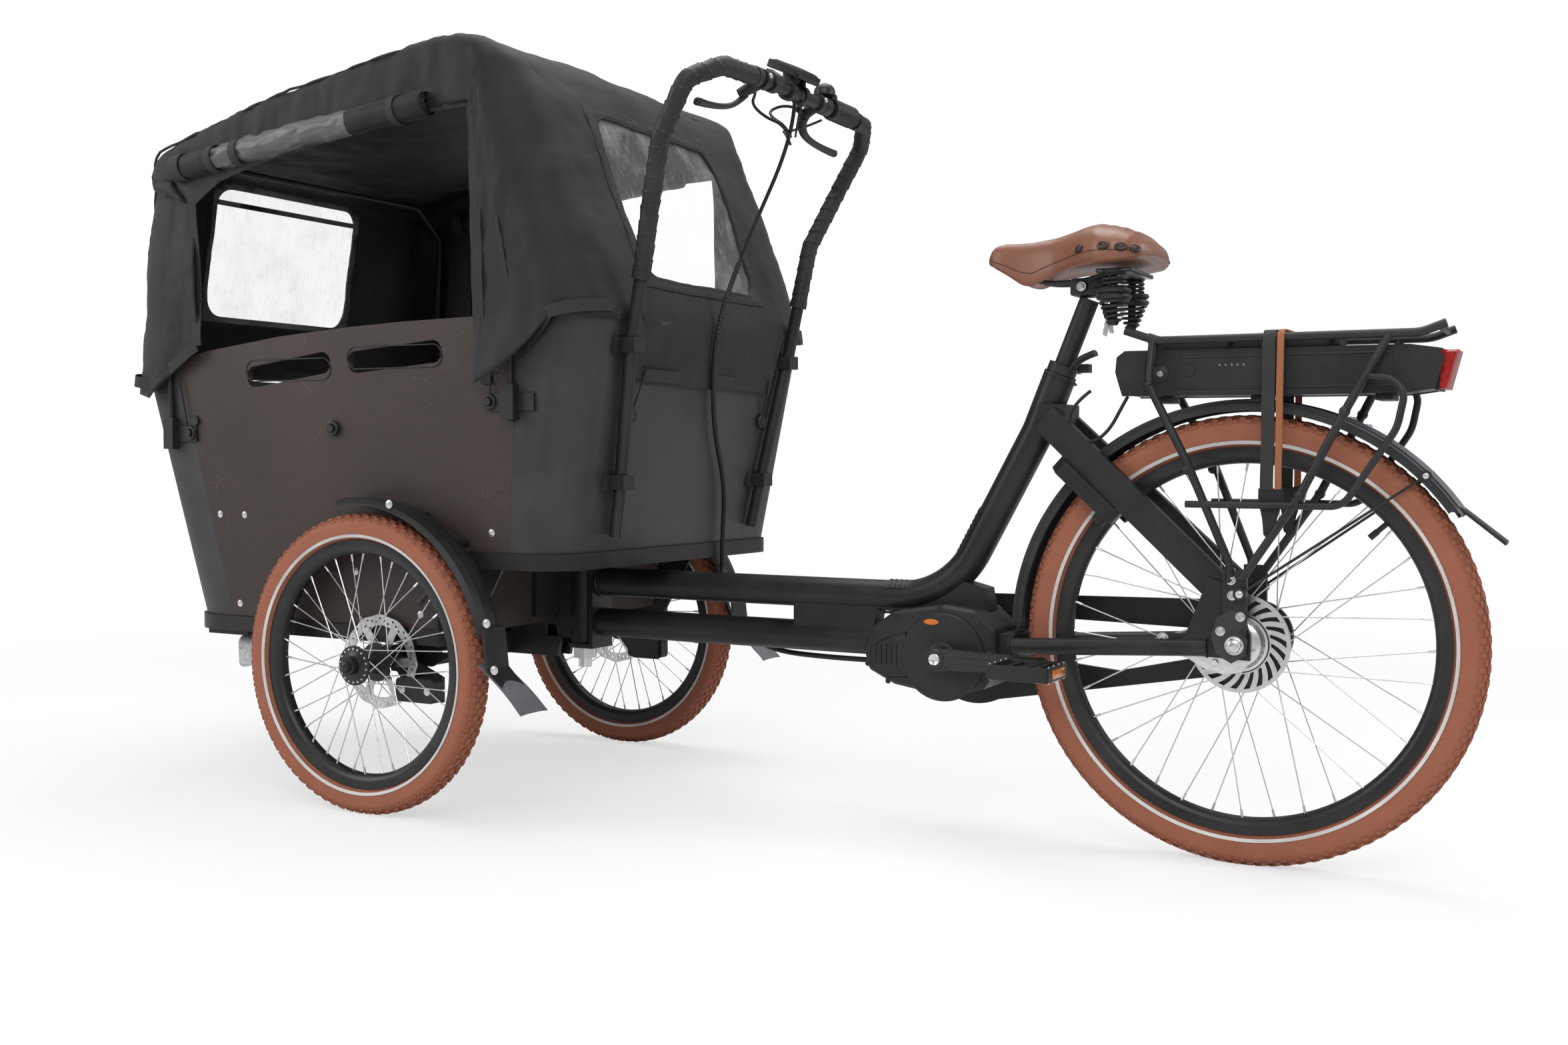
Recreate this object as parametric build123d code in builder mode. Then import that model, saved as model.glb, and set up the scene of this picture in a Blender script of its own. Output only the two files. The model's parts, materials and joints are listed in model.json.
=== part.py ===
"""Electric cargo trike: a rear frame with one driven wheel, and a front carriage with two wheels,
a plywood box, a fabric canopy and a push bar, hinged to the frame under the box.

Millimetres. X is forward, Y is left, Z is up, and the ground is z = 0.
"""

import os
from math import atan, cos, degrees, radians, sin

from build123d import *

os.makedirs("parts", exist_ok=True)

# Stance
wheelbase = 1360.0
box_half = 346.0
front_track = 2 * (box_half + 39.0)
rear_wheel_r = 330.0
front_wheel_r = 250.0
rear_x = -819.0
front_x = rear_x + wheelbase
front_y = front_track / 2
steer_x = rear_x + 1188.0
seat_gap = 0.3

# Wheels
tyre_width = 50.0
rear_rim_r = rear_wheel_r - 44.5
front_rim_r = front_wheel_r - 41.0
rim_width = 30.0
rim_depth = 24.0
rim_wall = 3.0
rear_spokes = 36
front_spokes = 36
spoke_d = 3.0
axle_d = 12.0
axle_fit = 0.05

# Frame
tube_d = 51.0
upper_tube_z = 371.0
lower_tube_z = 297.0
plate = 8.0
head_tube_d = 54.0
head_tube_low = 258.5
head_tube_high = 399.5
pivot_bolt_d = 24.0
pivot_fit = 0.05
seat_post_d = 30.0
seat_top_x = rear_x + 287.0
seat_top_z = 728.0

# Drive
crank_x = rear_x + 453.0
crank_z = 284.0
crank_length = 170.0
crank_arm_y = 89.0
crank_arm_t = 12.0
pedal_size = (96.0, 88.0, 24.0)
pedal_y = 152.0
motor_low = -48.0
motor_high = 66.0

# Box
box_rear_x = rear_x + 985.0
box_front_x = rear_x + 1849.0
footwell_x = rear_x + 1240.0
box_rear_z = 442.0
box_front_z = 309.0
box_lean = 0.05
back_lean = 0.18
front_lean = 0.275
side_top_z = 822.0
front_top_z = 768.0
ply = 12.0
panel = 8.0
floor_t = 12.0
corner_rear = 68.0
corner_front = 100.0
belt_h = 27.0
belt_t = 4.0
slot_h = 37.0

# Canopy
canopy_half = box_half + 32.0
cloth = 4.0
canopy_corner = 100.0
pole_d = 10.0
door_roll_d = 50.0

# Push bar
bar_d = 22.0
tape_d = 30.0


def finish(part, name):
    """Label one piece and write its file."""
    part.label = name
    export_step(part, f"parts/{name}.step")


def round_bar(points, diameter, bends):
    """A round bar along straight runs joined by arcs."""
    with BuildPart() as bar:
        with BuildLine() as path:
            FilletPolyline(*points, radius=bends)
        with BuildSketch(Plane(path.line @ 0, z_dir=path.line % 0)):
            Circle(diameter / 2)
        sweep(path=path.line)
    return bar.part


def rod(start, end, diameter):
    """A straight round rod between two points."""
    start, end = Vector(*start), Vector(*end)
    with BuildPart() as piece:
        with BuildSketch(Plane(start, z_dir=end - start)):
            Circle(diameter / 2)
        extrude(amount=(end - start).length)
    return piece.part


def slab(outline, y_low, y_high):
    """A plate with an outline in X and Z, between two Y values."""
    with BuildPart() as piece:
        with BuildSketch(Plane.XZ.offset(-y_high)):
            with BuildLine():
                Polyline(*outline, close=True)
            make_face()
        extrude(amount=y_high - y_low)
    return piece.part


def block(x, y, z):
    """A block between low and high values on each axis."""
    with BuildPart() as piece:
        with Locations(((x[0] + x[1]) / 2, (y[0] + y[1]) / 2, (z[0] + z[1]) / 2)):
            Box(x[1] - x[0], y[1] - y[0], z[1] - z[0])
    return piece.part


def disc(centre, radius, y_low, y_high, bore=0.0):
    """A round plate across Y, with a bore if one is given."""
    with BuildPart() as piece:
        with BuildSketch(Plane((centre[0], y_low, centre[1]), x_dir=(1, 0, 0), z_dir=(0, 1, 0))):
            Circle(radius)
            if bore:
                Circle(bore, mode=Mode.SUBTRACT)
        extrude(amount=y_high - y_low)
    return piece.part


def disc_flat(centre_xy, radius, z_low, z_high):
    """A round bar standing upright."""
    with BuildPart() as piece:
        with BuildSketch(Plane((*centre_xy, z_low))):
            Circle(radius)
        extrude(amount=z_high - z_low)
    return piece.part


# Wheels
def make_tyre(hub, radius, rim_r):
    with BuildPart() as tyre:
        with BuildSketch(Plane(hub)):
            with BuildLine():
                half = tyre_width / 2
                shoulder = radius - 17
                bead = rim_r - 7
                Polyline((bead, -rim_width / 2 + rim_wall), (rim_r + 12, -half + 1), (shoulder, -half),
                         (radius - 5, -half + 12), (radius, -7), (radius, 7), (radius - 5, half - 12),
                         (shoulder, half), (rim_r + 12, half - 1), (bead, rim_width / 2 - rim_wall), close=True)
            make_face()
            with BuildLine():
                Polyline((rim_r - 14, -rim_width / 2), (rim_r + seat_gap, -rim_width / 2 - 1),
                         (rim_r + seat_gap, -rim_width / 2 + rim_wall + seat_gap),
                         (rim_r - 14, -rim_width / 2 + rim_wall + seat_gap), close=True)
            make_face(mode=Mode.SUBTRACT)
            with BuildLine():
                Polyline((rim_r - 14, rim_width / 2), (rim_r + seat_gap, rim_width / 2 + 1),
                         (rim_r + seat_gap, rim_width / 2 - rim_wall - seat_gap),
                         (rim_r - 14, rim_width / 2 - rim_wall - seat_gap), close=True)
            make_face(mode=Mode.SUBTRACT)
        revolve(axis=Axis(hub, (0, 1, 0)))
    return tyre.part


def make_rim(hub, rim_r):
    bead = rim_r - 7 - seat_gap
    with BuildPart() as rim:
        with BuildSketch(Plane(hub)):
            with BuildLine():
                half = rim_width / 2
                Polyline((rim_r, -half), (rim_r, -half + rim_wall), (bead, -half + rim_wall),
                         (bead, half - rim_wall), (rim_r, half - rim_wall), (rim_r, half),
                         (rim_r - 14, half), (rim_r - rim_depth, 8), (rim_r - rim_depth, -8),
                         (rim_r - 14, -half), close=True)
            make_face()
        revolve(axis=Axis(hub, (0, 1, 0)))
    return rim.part


def spoke(foot, tip):
    """One spoke, square in section."""
    foot, tip = Vector(*foot), Vector(*tip)
    with BuildPart() as bar:
        with BuildSketch(Plane(foot, z_dir=tip - foot)):
            Rectangle(0.8 * spoke_d, 0.8 * spoke_d)
        extrude(amount=(tip - foot).length - 1)
    return bar.part


def make_hub(hub, rim_r, spokes, flange_y, flange_r, body_r, bore, offset=0.0):
    """A hub with its two flanges and crossed spokes up to the rim."""
    reach = rim_r - rim_depth - seat_gap
    spoke_bars = []
    for i in range(spokes):
        side = 1 if i % 2 else -1
        lean = 60 if (i // 2) % 2 else -60
        turn = 360 * i / spokes
        foot = (hub[0] + (flange_r - 5) * cos(radians(turn + lean)), hub[1] + side * flange_y + offset,
                hub[2] + (flange_r - 5) * sin(radians(turn + lean)))
        tip = (hub[0] + reach * cos(radians(turn)), hub[1] + side * 3, hub[2] + reach * sin(radians(turn)))
        spoke_bars.append(spoke(foot, tip))
    with BuildPart() as part:
        with BuildSketch(Plane(hub)):
            with BuildLine():
                Polyline((bore, -flange_y - 6 + offset), (body_r, -flange_y - 6 + offset),
                         (flange_r, -flange_y - 2 + offset), (flange_r, -flange_y + 2 + offset),
                         (body_r, -flange_y + 6 + offset), (body_r, flange_y - 6 + offset),
                         (flange_r, flange_y - 2 + offset), (flange_r, flange_y + 2 + offset),
                         (body_r, flange_y + 6 + offset), (bore, flange_y + 6 + offset), close=True)
            make_face()
        revolve(axis=Axis(hub, (0, 1, 0)))
        add(spoke_bars)
    return part.part


rear_hub = (rear_x, 0.0, rear_wheel_r)
finish(make_tyre(rear_hub, rear_wheel_r, rear_rim_r), "rear_tyre")
finish(make_rim(rear_hub, rear_rim_r), "rear_rim")
finish(make_hub(rear_hub, rear_rim_r, rear_spokes, 27.0, 46.0, 40.0, axle_d / 2 + axle_fit, offset=-3.0), "rear_hub")

rotor_r = 80.0
front_flange_y = 26.0
rotor_y = 36.0
for side, sign in (("left", 1), ("right", -1)):
    hub = (front_x, sign * front_y, front_wheel_r)
    finish(make_tyre(hub, front_wheel_r, front_rim_r), f"front_{side}_tyre")
    finish(make_rim(hub, front_rim_r), f"front_{side}_rim")
    finish(make_hub(hub, front_rim_r, front_spokes, front_flange_y, 33.0, 18.0,
                    axle_d / 2 + axle_fit), f"front_{side}_hub")
    with BuildPart() as rotor:
        mid = hub[1] - sign * rotor_y
        with BuildSketch(Plane((hub[0], mid - 1, hub[2]), x_dir=(1, 0, 0), z_dir=(0, 1, 0))):
            Circle(rotor_r)
            Circle(rotor_r - 15, mode=Mode.SUBTRACT)
            Circle(22)
            Circle(axle_d / 2 + 4, mode=Mode.SUBTRACT)
            with PolarLocations(0, 6):
                with Locations((43, 0)):
                    Rectangle(48, 7)
        extrude(amount=2)
        inner, outer = sorted((mid + sign * 0.5, hub[1] - sign * (front_flange_y + 6 + seat_gap)))
        add(disc((hub[0], hub[2]), 21, inner, outer, axle_d / 2 + 4))
    finish(rotor.part, f"front_{side}_rotor")

# Main frame
yoke_rear = steer_x - 38.0
yoke_half = 31.0
yoke_low = head_tube_low - plate - seat_gap
yoke_high = head_tube_high + plate + seat_gap
seat_tube_foot = (rear_x + 322, 0, 640)
upper_path = [(yoke_rear + 2, 0, upper_tube_z), (rear_x + 466, 0, upper_tube_z), seat_tube_foot,
              (seat_top_x, 0, seat_top_z)]
with BuildPart() as main_frame:
    add(round_bar(upper_path, tube_d, [150, 120]))
    add(rod((yoke_rear + 2, 0, lower_tube_z), (rear_x + 600, 0, lower_tube_z), tube_d))
    for z_low in (yoke_low, head_tube_high + seat_gap):
        with BuildSketch(Plane.XY.offset(z_low)):
            with Locations((steer_x, 0)):
                Circle(yoke_half)
            with Locations(((yoke_rear + steer_x) / 2, 0)):
                Rectangle(steer_x - yoke_rear, 2 * yoke_half)
            with Locations((steer_x, 0)):
                Circle(pivot_bolt_d / 2 + pivot_fit, mode=Mode.SUBTRACT)
        extrude(amount=plate)
    add(block((yoke_rear, yoke_rear + plate), (-yoke_half, yoke_half), (yoke_low, yoke_high)))
    add(slab([(rear_x + 745, lower_tube_z), (rear_x + 745, upper_tube_z - 8), (rear_x + 520, upper_tube_z - 2),
              (rear_x + 440, upper_tube_z + 30), (rear_x + 400, upper_tube_z + 20), (rear_x + 392, crank_z + 66.3),
              (rear_x + 590, crank_z + 66.3), (rear_x + 600, lower_tube_z)], -18, 18))
finish(main_frame.part, "main_frame")

with BuildPart() as pivot_bolt:
    add(disc_flat((steer_x, 0), pivot_bolt_d / 2, 213, yoke_high + seat_gap))
    with BuildSketch(Plane.XY.offset(yoke_high + seat_gap)):
        with Locations((steer_x, 0)):
            RegularPolygon(21, 6)
    extrude(amount=12)
    with BuildSketch(Plane.XY.offset(yoke_low - seat_gap - 20)):
        with Locations((steer_x, 0)):
            RegularPolygon(23, 6)
    extrude(amount=20)
finish(pivot_bolt.part, "pivot_bolt")

# Rear triangle
stay_y = 60.0
stay_top = Vector(rear_x + 300, 34, 660)
stay_foot = Vector(rear_x + 15, 52, rear_wheel_r + 68)
with BuildPart() as rear_stays:
    for sign in (1, -1):
        add(rod((rear_x + 350, sign * 42, 305), (rear_x + 40, sign * stay_y, rear_wheel_r - 6), 26))
        top = Vector(stay_top.X, sign * stay_top.Y, stay_top.Z)
        foot = Vector(stay_foot.X, sign * stay_foot.Y, stay_foot.Z)
        with BuildSketch(Plane(top, x_dir=(0, 1, 0), z_dir=foot - top)):
            Rectangle(16, 44)
        extrude(amount=(foot - top).length)
        add(slab([(rear_x - 20, rear_wheel_r - 22), (rear_x + 75, rear_wheel_r - 18), (rear_x + 75, rear_wheel_r + 6),
                  (rear_x + 40, rear_wheel_r + 96), (rear_x + 4, rear_wheel_r + 84), (rear_x - 20, rear_wheel_r + 14)],
                 sign * stay_y - 4, sign * stay_y + 4))
    add(block((rear_x + 342, rear_x + 366.7), (-48, 48), (crank_z - 6, crank_z + 40)))
    add(block((rear_x + 268, rear_x + 312), (-35, 35), (646, 680)))
    add(disc((rear_x, rear_wheel_r), axle_d / 2 + 0.2, -100, 100), mode=Mode.SUBTRACT)
    add(round_bar(upper_path, tube_d + 2 * seat_gap, [150, 120]), mode=Mode.SUBTRACT)
finish(rear_stays.part, "rear_stays")

# Rear axle with its brake unit
with BuildPart() as rear_brake:
    add(disc((rear_x, rear_wheel_r), axle_d / 2, -stay_y - 20, stay_y + 26))
    add(disc((rear_x, rear_wheel_r), 72, 34, 42, axle_d / 2 - 0.5))
    add(disc((rear_x, rear_wheel_r), 37, 30.3, 55.7, axle_d / 2 - 0.5))
    add(disc((rear_x, rear_wheel_r), 12, stay_y + 14.3, stay_y + 22, axle_d / 2 - 0.5))
    add(disc((rear_x, rear_wheel_r), 12, -stay_y - 18, -stay_y - 14.3, axle_d / 2 - 0.5))
finish(rear_brake.part, "rear_brake")

# Motor, crank and pedals
with BuildPart() as motor_unit:
    add(slab([(rear_x + 367, 262), (rear_x + 386, 237), (rear_x + 442, 220), (rear_x + 538, 235),
              (rear_x + 582, 256), (rear_x + 592, 288), (rear_x + 582, 322), (rear_x + 539, 352),
              (rear_x + 452, 366), (rear_x + 400, 360), (rear_x + 367, 330)], motor_low, motor_high))
    fillet(motor_unit.edges().filter_by(Axis.Y), 8)
    chamfer(motor_unit.faces().filter_by(Axis.Y).edges(), 5)
    add(rod((rear_x + 560, 0, 262), (rear_x + 598, 0, 262), 14))
    add(disc((crank_x, crank_z), 13.05, -100, 100), mode=Mode.SUBTRACT)
    add(main_frame.part, mode=Mode.SUBTRACT)
finish(motor_unit.part, "motor_unit")

with BuildPart() as crank_set:
    add(disc((crank_x, crank_z), 13, -crank_arm_y - crank_arm_t, crank_arm_y + crank_arm_t))
    for sign in (1, -1):
        y_low, y_high = sorted((sign * crank_arm_y, sign * (crank_arm_y + crank_arm_t)))
        tip = crank_x - sign * crank_length
        add(disc((crank_x, crank_z), 19, y_low, y_high))
        add(disc((tip, crank_z), 14, y_low, y_high))
        add(slab([(crank_x, crank_z - 17), (crank_x, crank_z + 17), (tip, crank_z + 12), (tip, crank_z - 12)],
                 y_low, y_high))
        add(disc((tip, crank_z), 7, *sorted((sign * (crank_arm_y + 10), sign * (pedal_y + 42)))))
finish(crank_set.part, "crank_set")

for side, sign in (("left", 1), ("right", -1)):
    tip = crank_x - sign * crank_length
    with BuildPart() as pedal:
        with Locations((tip, sign * pedal_y, crank_z)):
            Box(*pedal_size)
        fillet(pedal.edges().filter_by(Axis.Z), 12)
        for dx in (-29, 29):
            with Locations((tip + dx, sign * pedal_y, crank_z)):
                Box(24, 60, 60, mode=Mode.SUBTRACT)
        add(disc((tip, crank_z), 7.05, *sorted((sign * 50, sign * 250))), mode=Mode.SUBTRACT)
    finish(pedal.part, f"pedal_{side}")

# Chain case on the right
case_outline = [(rear_x + 6, rear_wheel_r + 53), (crank_x - 10, crank_z + 91), (crank_x + 8, crank_z - 91),
                (rear_x - 8, rear_wheel_r - 54)]
with BuildPart() as chain_case:
    add(disc((crank_x, crank_z), 92, -84, -74.3))
    add(disc((rear_x, rear_wheel_r), 54, -84, -74.3))
    add(slab(case_outline, -84, -74.3))
    case_window = [(rear_x + 66, rear_wheel_r - 34), (rear_x + 66, rear_wheel_r + 6), (rear_x + 320, crank_z + 57),
                   (rear_x + 338, crank_z + 44), (rear_x + 338, crank_z - 10), (rear_x + 212, crank_z - 22)]
    add(slab(case_window, -90, -70), mode=Mode.SUBTRACT)
    add(disc((crank_x, crank_z), 60, -75, motor_low - seat_gap))
    add(disc((crank_x, crank_z), 19, -100, 0), mode=Mode.SUBTRACT)
    add(disc((rear_x, rear_wheel_r), 15, -100, 0), mode=Mode.SUBTRACT)
finish(chain_case.part, "chain_case")

# Seat
post_foot = (seat_top_x - 0.1, 0, seat_top_z + 0.5)
post_top = (rear_x + 242, 0, 841)
post_dir = (Vector(*post_top) - Vector(*post_foot)).normalized()
with BuildPart() as seat_post:
    add(rod(post_foot, post_top, seat_post_d))
finish(seat_post.part, "seat_post")

with BuildPart() as seat_clamp:
    collar_foot = Vector(*post_foot) + post_dir * 0.2
    add(rod(collar_foot, collar_foot + post_dir * 14, 46))
    add(block((rear_x + 240, rear_x + 270), (-9, 9), (729, 742)))
    add(rod(post_foot, post_top, seat_post_d + 0.4), mode=Mode.SUBTRACT)
    add(round_bar(upper_path, tube_d + 0.4, [150, 120]), mode=Mode.SUBTRACT)
finish(seat_clamp.part, "seat_clamp")

spring_x = rear_x + 178.0
with BuildPart() as seat_springs:
    for sign in (1, -1):
        with BuildSketch(Plane((spring_x, sign * 48, 800))):
            Circle(15)
        with BuildSketch(Plane((spring_x, sign * 48, 878))):
            Circle(26)
        loft()
        add(rod((spring_x, sign * 48, 873), (rear_x + 222, sign * 19, 873), 8))
        add(rod((rear_x + 219, sign * 20, 873), (rear_x + 335, sign * 18, 873), 8))
        add(rod((spring_x, sign * 48, 806), (rear_x + 236, sign * 20, 850), 8))
    add(block((rear_x + 214, rear_x + 266), (-26, 26), (843, 877)))
    add(rod(post_foot, Vector(*post_top) + post_dir * 0.2, seat_post_d + 0.2), mode=Mode.SUBTRACT)
finish(seat_springs.part, "seat_springs")

with BuildPart() as saddle:
    with BuildSketch(Plane.XY.offset(858)):
        with BuildLine():
            Spline((rear_x + 131, 0), (rear_x + 139, 78), (rear_x + 180, 104), (rear_x + 235, 84),
                   (rear_x + 290, 40), (rear_x + 350, 23), (rear_x + 392, 17), (rear_x + 405, 0),
                   tangents=((0, 1), (0, -1)))
            mirror(about=Plane.XZ)
        make_face()
    extrude(amount=96)
    with BuildSketch(Plane.XZ.offset(-120)):
        with BuildLine():
            Polyline((rear_x + 131, 894), (rear_x + 150, 878.3), (rear_x + 232, 878.3), (rear_x + 290, 868),
                     (rear_x + 322, 861), (rear_x + 350, 872), (rear_x + 398, 893), (rear_x + 406, 904),
                     (rear_x + 398, 917), (rear_x + 340, 923), (rear_x + 285, 935), (rear_x + 236, 950),
                     (rear_x + 214, 953), (rear_x + 180, 945), (rear_x + 140, 916), close=True)
        make_face()
    extrude(amount=240, mode=Mode.INTERSECT)
    add(block((rear_x + 200, rear_x + 345), (-28, 28), (850, 880)), mode=Mode.SUBTRACT)
finish(saddle.part, "saddle")

# Rack, battery and lights
rack_z = 2 * rear_wheel_r + 110.0
rack_y = 62.0
rack_cross = (-262, -120, 20, 130)
with BuildPart() as rack:
    for sign in (1, -1):
        add(round_bar([(rear_x + 168, sign * rack_y, rack_z + 16), (rear_x + 122, sign * rack_y, rack_z),
                       (rear_x - 240, sign * rack_y, rack_z), (rear_x - 272, sign * rack_y, rack_z + 12)],
                      12, [60, 60]))
        add(round_bar([(rear_x + 127, sign * rack_y, rack_z - 2), (rear_x + 128, sign * (rack_y + 14), rack_z - 65),
                       (rear_x + 70, sign * (rack_y + 20), rack_z - 176),
                       (rear_x + 8, sign * 72, rear_wheel_r + 115), (rear_x + 8, sign * 72, rear_wheel_r + 90)],
                      12, [60, 120, 30]))
        add(round_bar([(rear_x - 199, sign * rack_y, rack_z - 2), (rear_x - 146, sign * (rack_y + 18), rack_z - 107),
                       (rear_x - 88, sign * (rack_y + 18), rack_z - 224), (rear_x - 8, sign * 72, rear_wheel_r + 95)],
                      12, [90, 90]))
        add(round_bar([(rear_x - 172, sign * (rack_y + 9), rack_z - 58), (rear_x - 226, sign * (rack_y + 16), rack_z - 66),
                       (rear_x - 214, sign * (rack_y + 18), rack_z - 130),
                       (rear_x - 145, sign * (rack_y + 18), rack_z - 238),
                       (rear_x + 71, sign * (rack_y + 18), rack_z - 238)], 10, [28, 60, 30]))
        add(slab([(rear_x - 16, rear_wheel_r - 15), (rear_x + 16, rear_wheel_r - 15),
                  (rear_x + 18, rear_wheel_r + 108), (rear_x - 16, rear_wheel_r + 108)],
                 *sorted((sign * (stay_y + 4 + seat_gap), sign * (stay_y + 14)))))
    for x in rack_cross:
        lift = 9 if x == rack_cross[0] else 0
        add(rod((rear_x + x, -rack_y, rack_z + lift), (rear_x + x, rack_y, rack_z + lift), 10))
    add(block((rear_x - 130, rear_x + 140), (-30, 30), (rack_z - 11.7, rack_z - 3)))
    add(disc((rear_x, rear_wheel_r), axle_d / 2 + 0.3, -120, 120), mode=Mode.SUBTRACT)
finish(rack.part, "rack")

battery_outline = [(184, -46), (184, -20), (175, -12), (-222, -14), (-264, -20), (-271, -35), (-258, -78),
                   (-217, -83), (166, -74), (176, -58)]
with BuildPart() as battery:
    add(slab([(rear_x + x, rack_z + z) for x, z in battery_outline], -50, 50))
    fillet(battery.faces().filter_by(Axis.Y).edges(), 5)
finish(battery.part, "battery")

with BuildPart() as tail_light:
    add(slab([(rear_x - 284, rack_z - 22), (rear_x - 255, rack_z - 22), (rear_x - 255, rack_z - 76),
              (rear_x - 271, rack_z - 76)], -38, 38))
    fillet(tail_light.edges().filter_by(Axis.X), 6)
    add(battery.part, mode=Mode.SUBTRACT)
finish(tail_light.part, "tail_light")

with BuildPart() as rack_strap:
    add(block((rear_x - 62, rear_x - 32), (-rack_y - 9, rack_y + 9), (rack_z + 6.3, rack_z + 9)))
    for sign in (1, -1):
        add(block((rear_x - 62, rear_x - 32), sorted((sign * (rack_y + 6.3), sign * (rack_y + 9))),
                  (rack_z - 150, rack_z + 7)))
finish(rack_strap.part, "rack_strap")

# Rear fender and mudflap
with BuildPart() as rear_fender:
    with BuildSketch(Plane(rear_hub)):
        with BuildLine():
            Polyline(*[(rear_wheel_r + out, y) for out, y in
                       ((16, -27), (21, -22), (25, -10), (25, 10), (21, 22), (16, 27), (14, 26),
                        (18.5, 21), (22.5, 9.5), (22.5, -9.5), (18.5, -21), (14, -26))], close=True)
        make_face()
    revolve(axis=Axis(rear_hub, (0, -1, 0)), revolution_arc=147)
    end = radians(145)
    flap = [(rear_x + (rear_wheel_r + out) * cos(end + turn), rear_wheel_r + (rear_wheel_r + out) * sin(end + turn))
            for out, turn in ((20, 0.0), (24, 0.0), (52, 0.19), (49, 0.2))]
    add(slab(flap, -24, 24))
    wire_turn = radians(135.1)
    wire_x = rear_x + (rear_wheel_r + 17.2) * cos(wire_turn)
    wire_z = rear_wheel_r + (rear_wheel_r + 17.2) * sin(wire_turn)
    for sign in (1, -1):
        add(disc((rear_x - 8, rear_wheel_r + 75), 5, *sorted((sign * (stay_y + 14.3), sign * (stay_y + 22)))))
        add(rod((rear_x - 8, sign * (stay_y + 19.5), rear_wheel_r + 75), (wire_x, sign * 25.5, wire_z), 4))
finish(rear_fender.part, "rear_fender")

lock_mid = Vector(rear_x + 237.6, 0, 556.0)
with BuildPart() as ring_lock:
    with BuildSketch(Plane(lock_mid, x_dir=(0, 1, 0), z_dir=(0.677, 0, -0.736))):
        with BuildLine():
            Polyline((-40, 54), (40, 54), (55, 40), (55, -60), (44, -72), (31, -72), (31, 30), (-31, 30),
                     (-31, -72), (-44, -72), (-55, -60), (-55, 40), close=True)
        make_face()
    extrude(amount=12.1, both=True)
finish(ring_lock.part, "ring_lock")

# Box
lean_angle = degrees(atan(box_lean))


def half_at(z):
    """Half the box's outer width at one height."""
    return box_half + box_lean * (z - box_rear_z)


rear_seam_low = rear_x + 1090.0
rear_seam_high = rear_x + 1051.0
front_seam_low = rear_x + 1717.0
front_seam_high = rear_x + 1832.0


def on_side(x, z):
    """A point of a side panel, in the panel's own plane."""
    return (x, (z - box_rear_z) / cos(radians(lean_angle)))


side_plane = Plane((0, box_half, box_rear_z), x_dir=(1, 0, 0),
                   z_dir=(0, -cos(radians(lean_angle)), sin(radians(lean_angle))))
side_slots = ((rear_x + 1557, 746, 200.0, 7.2), (rear_x + 1315, 762, 206.0, 4.4))
with BuildPart() as side_panels:
    with BuildSketch(side_plane):
        with BuildLine():
            Polyline(on_side(rear_seam_high, side_top_z), on_side(rear_seam_low, box_rear_z),
                     on_side(footwell_x, box_rear_z), on_side(footwell_x, box_front_z),
                     on_side(front_seam_low, box_front_z), on_side(front_seam_high, front_top_z),
                     on_side(rear_x + 1753, 784), on_side(rear_x + 1573, 804), on_side(rear_x + 1419, 814),
                     on_side(rear_x + 1295, 819), on_side(rear_x + 1138, 821.6), close=True)
        make_face()
        for x, z, length, turn in side_slots:
            with Locations(Location((*on_side(x, z), 0), (0, 0, -turn))):
                SlotOverall(length, slot_h, mode=Mode.SUBTRACT)
    extrude(amount=ply)
    mirror(about=Plane.XZ)
finish(side_panels.part, "box_sides")


def end_section(z, half, seam_x, end_x, corner):
    """The plan of a rounded end of the box, cut straight at the seam."""
    out = 1 if end_x > seam_x else -1
    with BuildSketch(Plane.XY.offset(z)) as section:
        with BuildLine():
            Line((seam_x, half), (end_x - out * corner, half))
            TangentArc((end_x - out * corner, half), (end_x, half - corner), tangent=(out, 0))
            Line((end_x, half - corner), (end_x, -half + corner))
            TangentArc((end_x, -half + corner), (end_x - out * corner, -half), tangent=(0, -1))
            Line((end_x - out * corner, -half), (seam_x, -half))
            Line((seam_x, -half), (seam_x, half))
        make_face()
    return section.sketch


def wrap_panel(low, high, corner):
    """A curved end panel between a low and a high (z, seam_x, end_x)."""
    out = 1 if low[2] > low[1] else -1
    with BuildPart() as wrap:
        for z, seam_x, end_x in (low, high):
            add(end_section(z, half_at(z), seam_x + out * seat_gap, end_x, corner))
        loft(ruled=True)
        for z, seam_x, end_x in (low, high):
            add(end_section(z, half_at(z) - panel, seam_x - out, end_x - out * panel, corner - panel))
        loft(ruled=True, mode=Mode.SUBTRACT)
    return wrap.part


back_panel = wrap_panel((box_rear_z, rear_seam_low, box_rear_x),
                        (side_top_z, rear_seam_high, box_rear_x - back_lean * (side_top_z - box_rear_z)), corner_rear)
front_top_x = box_front_x + front_lean * (front_top_z - box_front_z)
front_panel = wrap_panel((box_front_z, front_seam_low, box_front_x), (front_top_z, front_seam_high, front_top_x),
                         corner_front)
with BuildPart() as front_wrap:
    add(front_panel)
    add(slab([(front_seam_high - 20, front_top_z + 1), (front_top_x + 20, front_top_z + 1),
              (front_top_x + 20, front_top_z - 26)], -400, 400), mode=Mode.SUBTRACT)
finish(back_panel, "box_back")
finish(front_wrap.part, "box_front")

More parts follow.
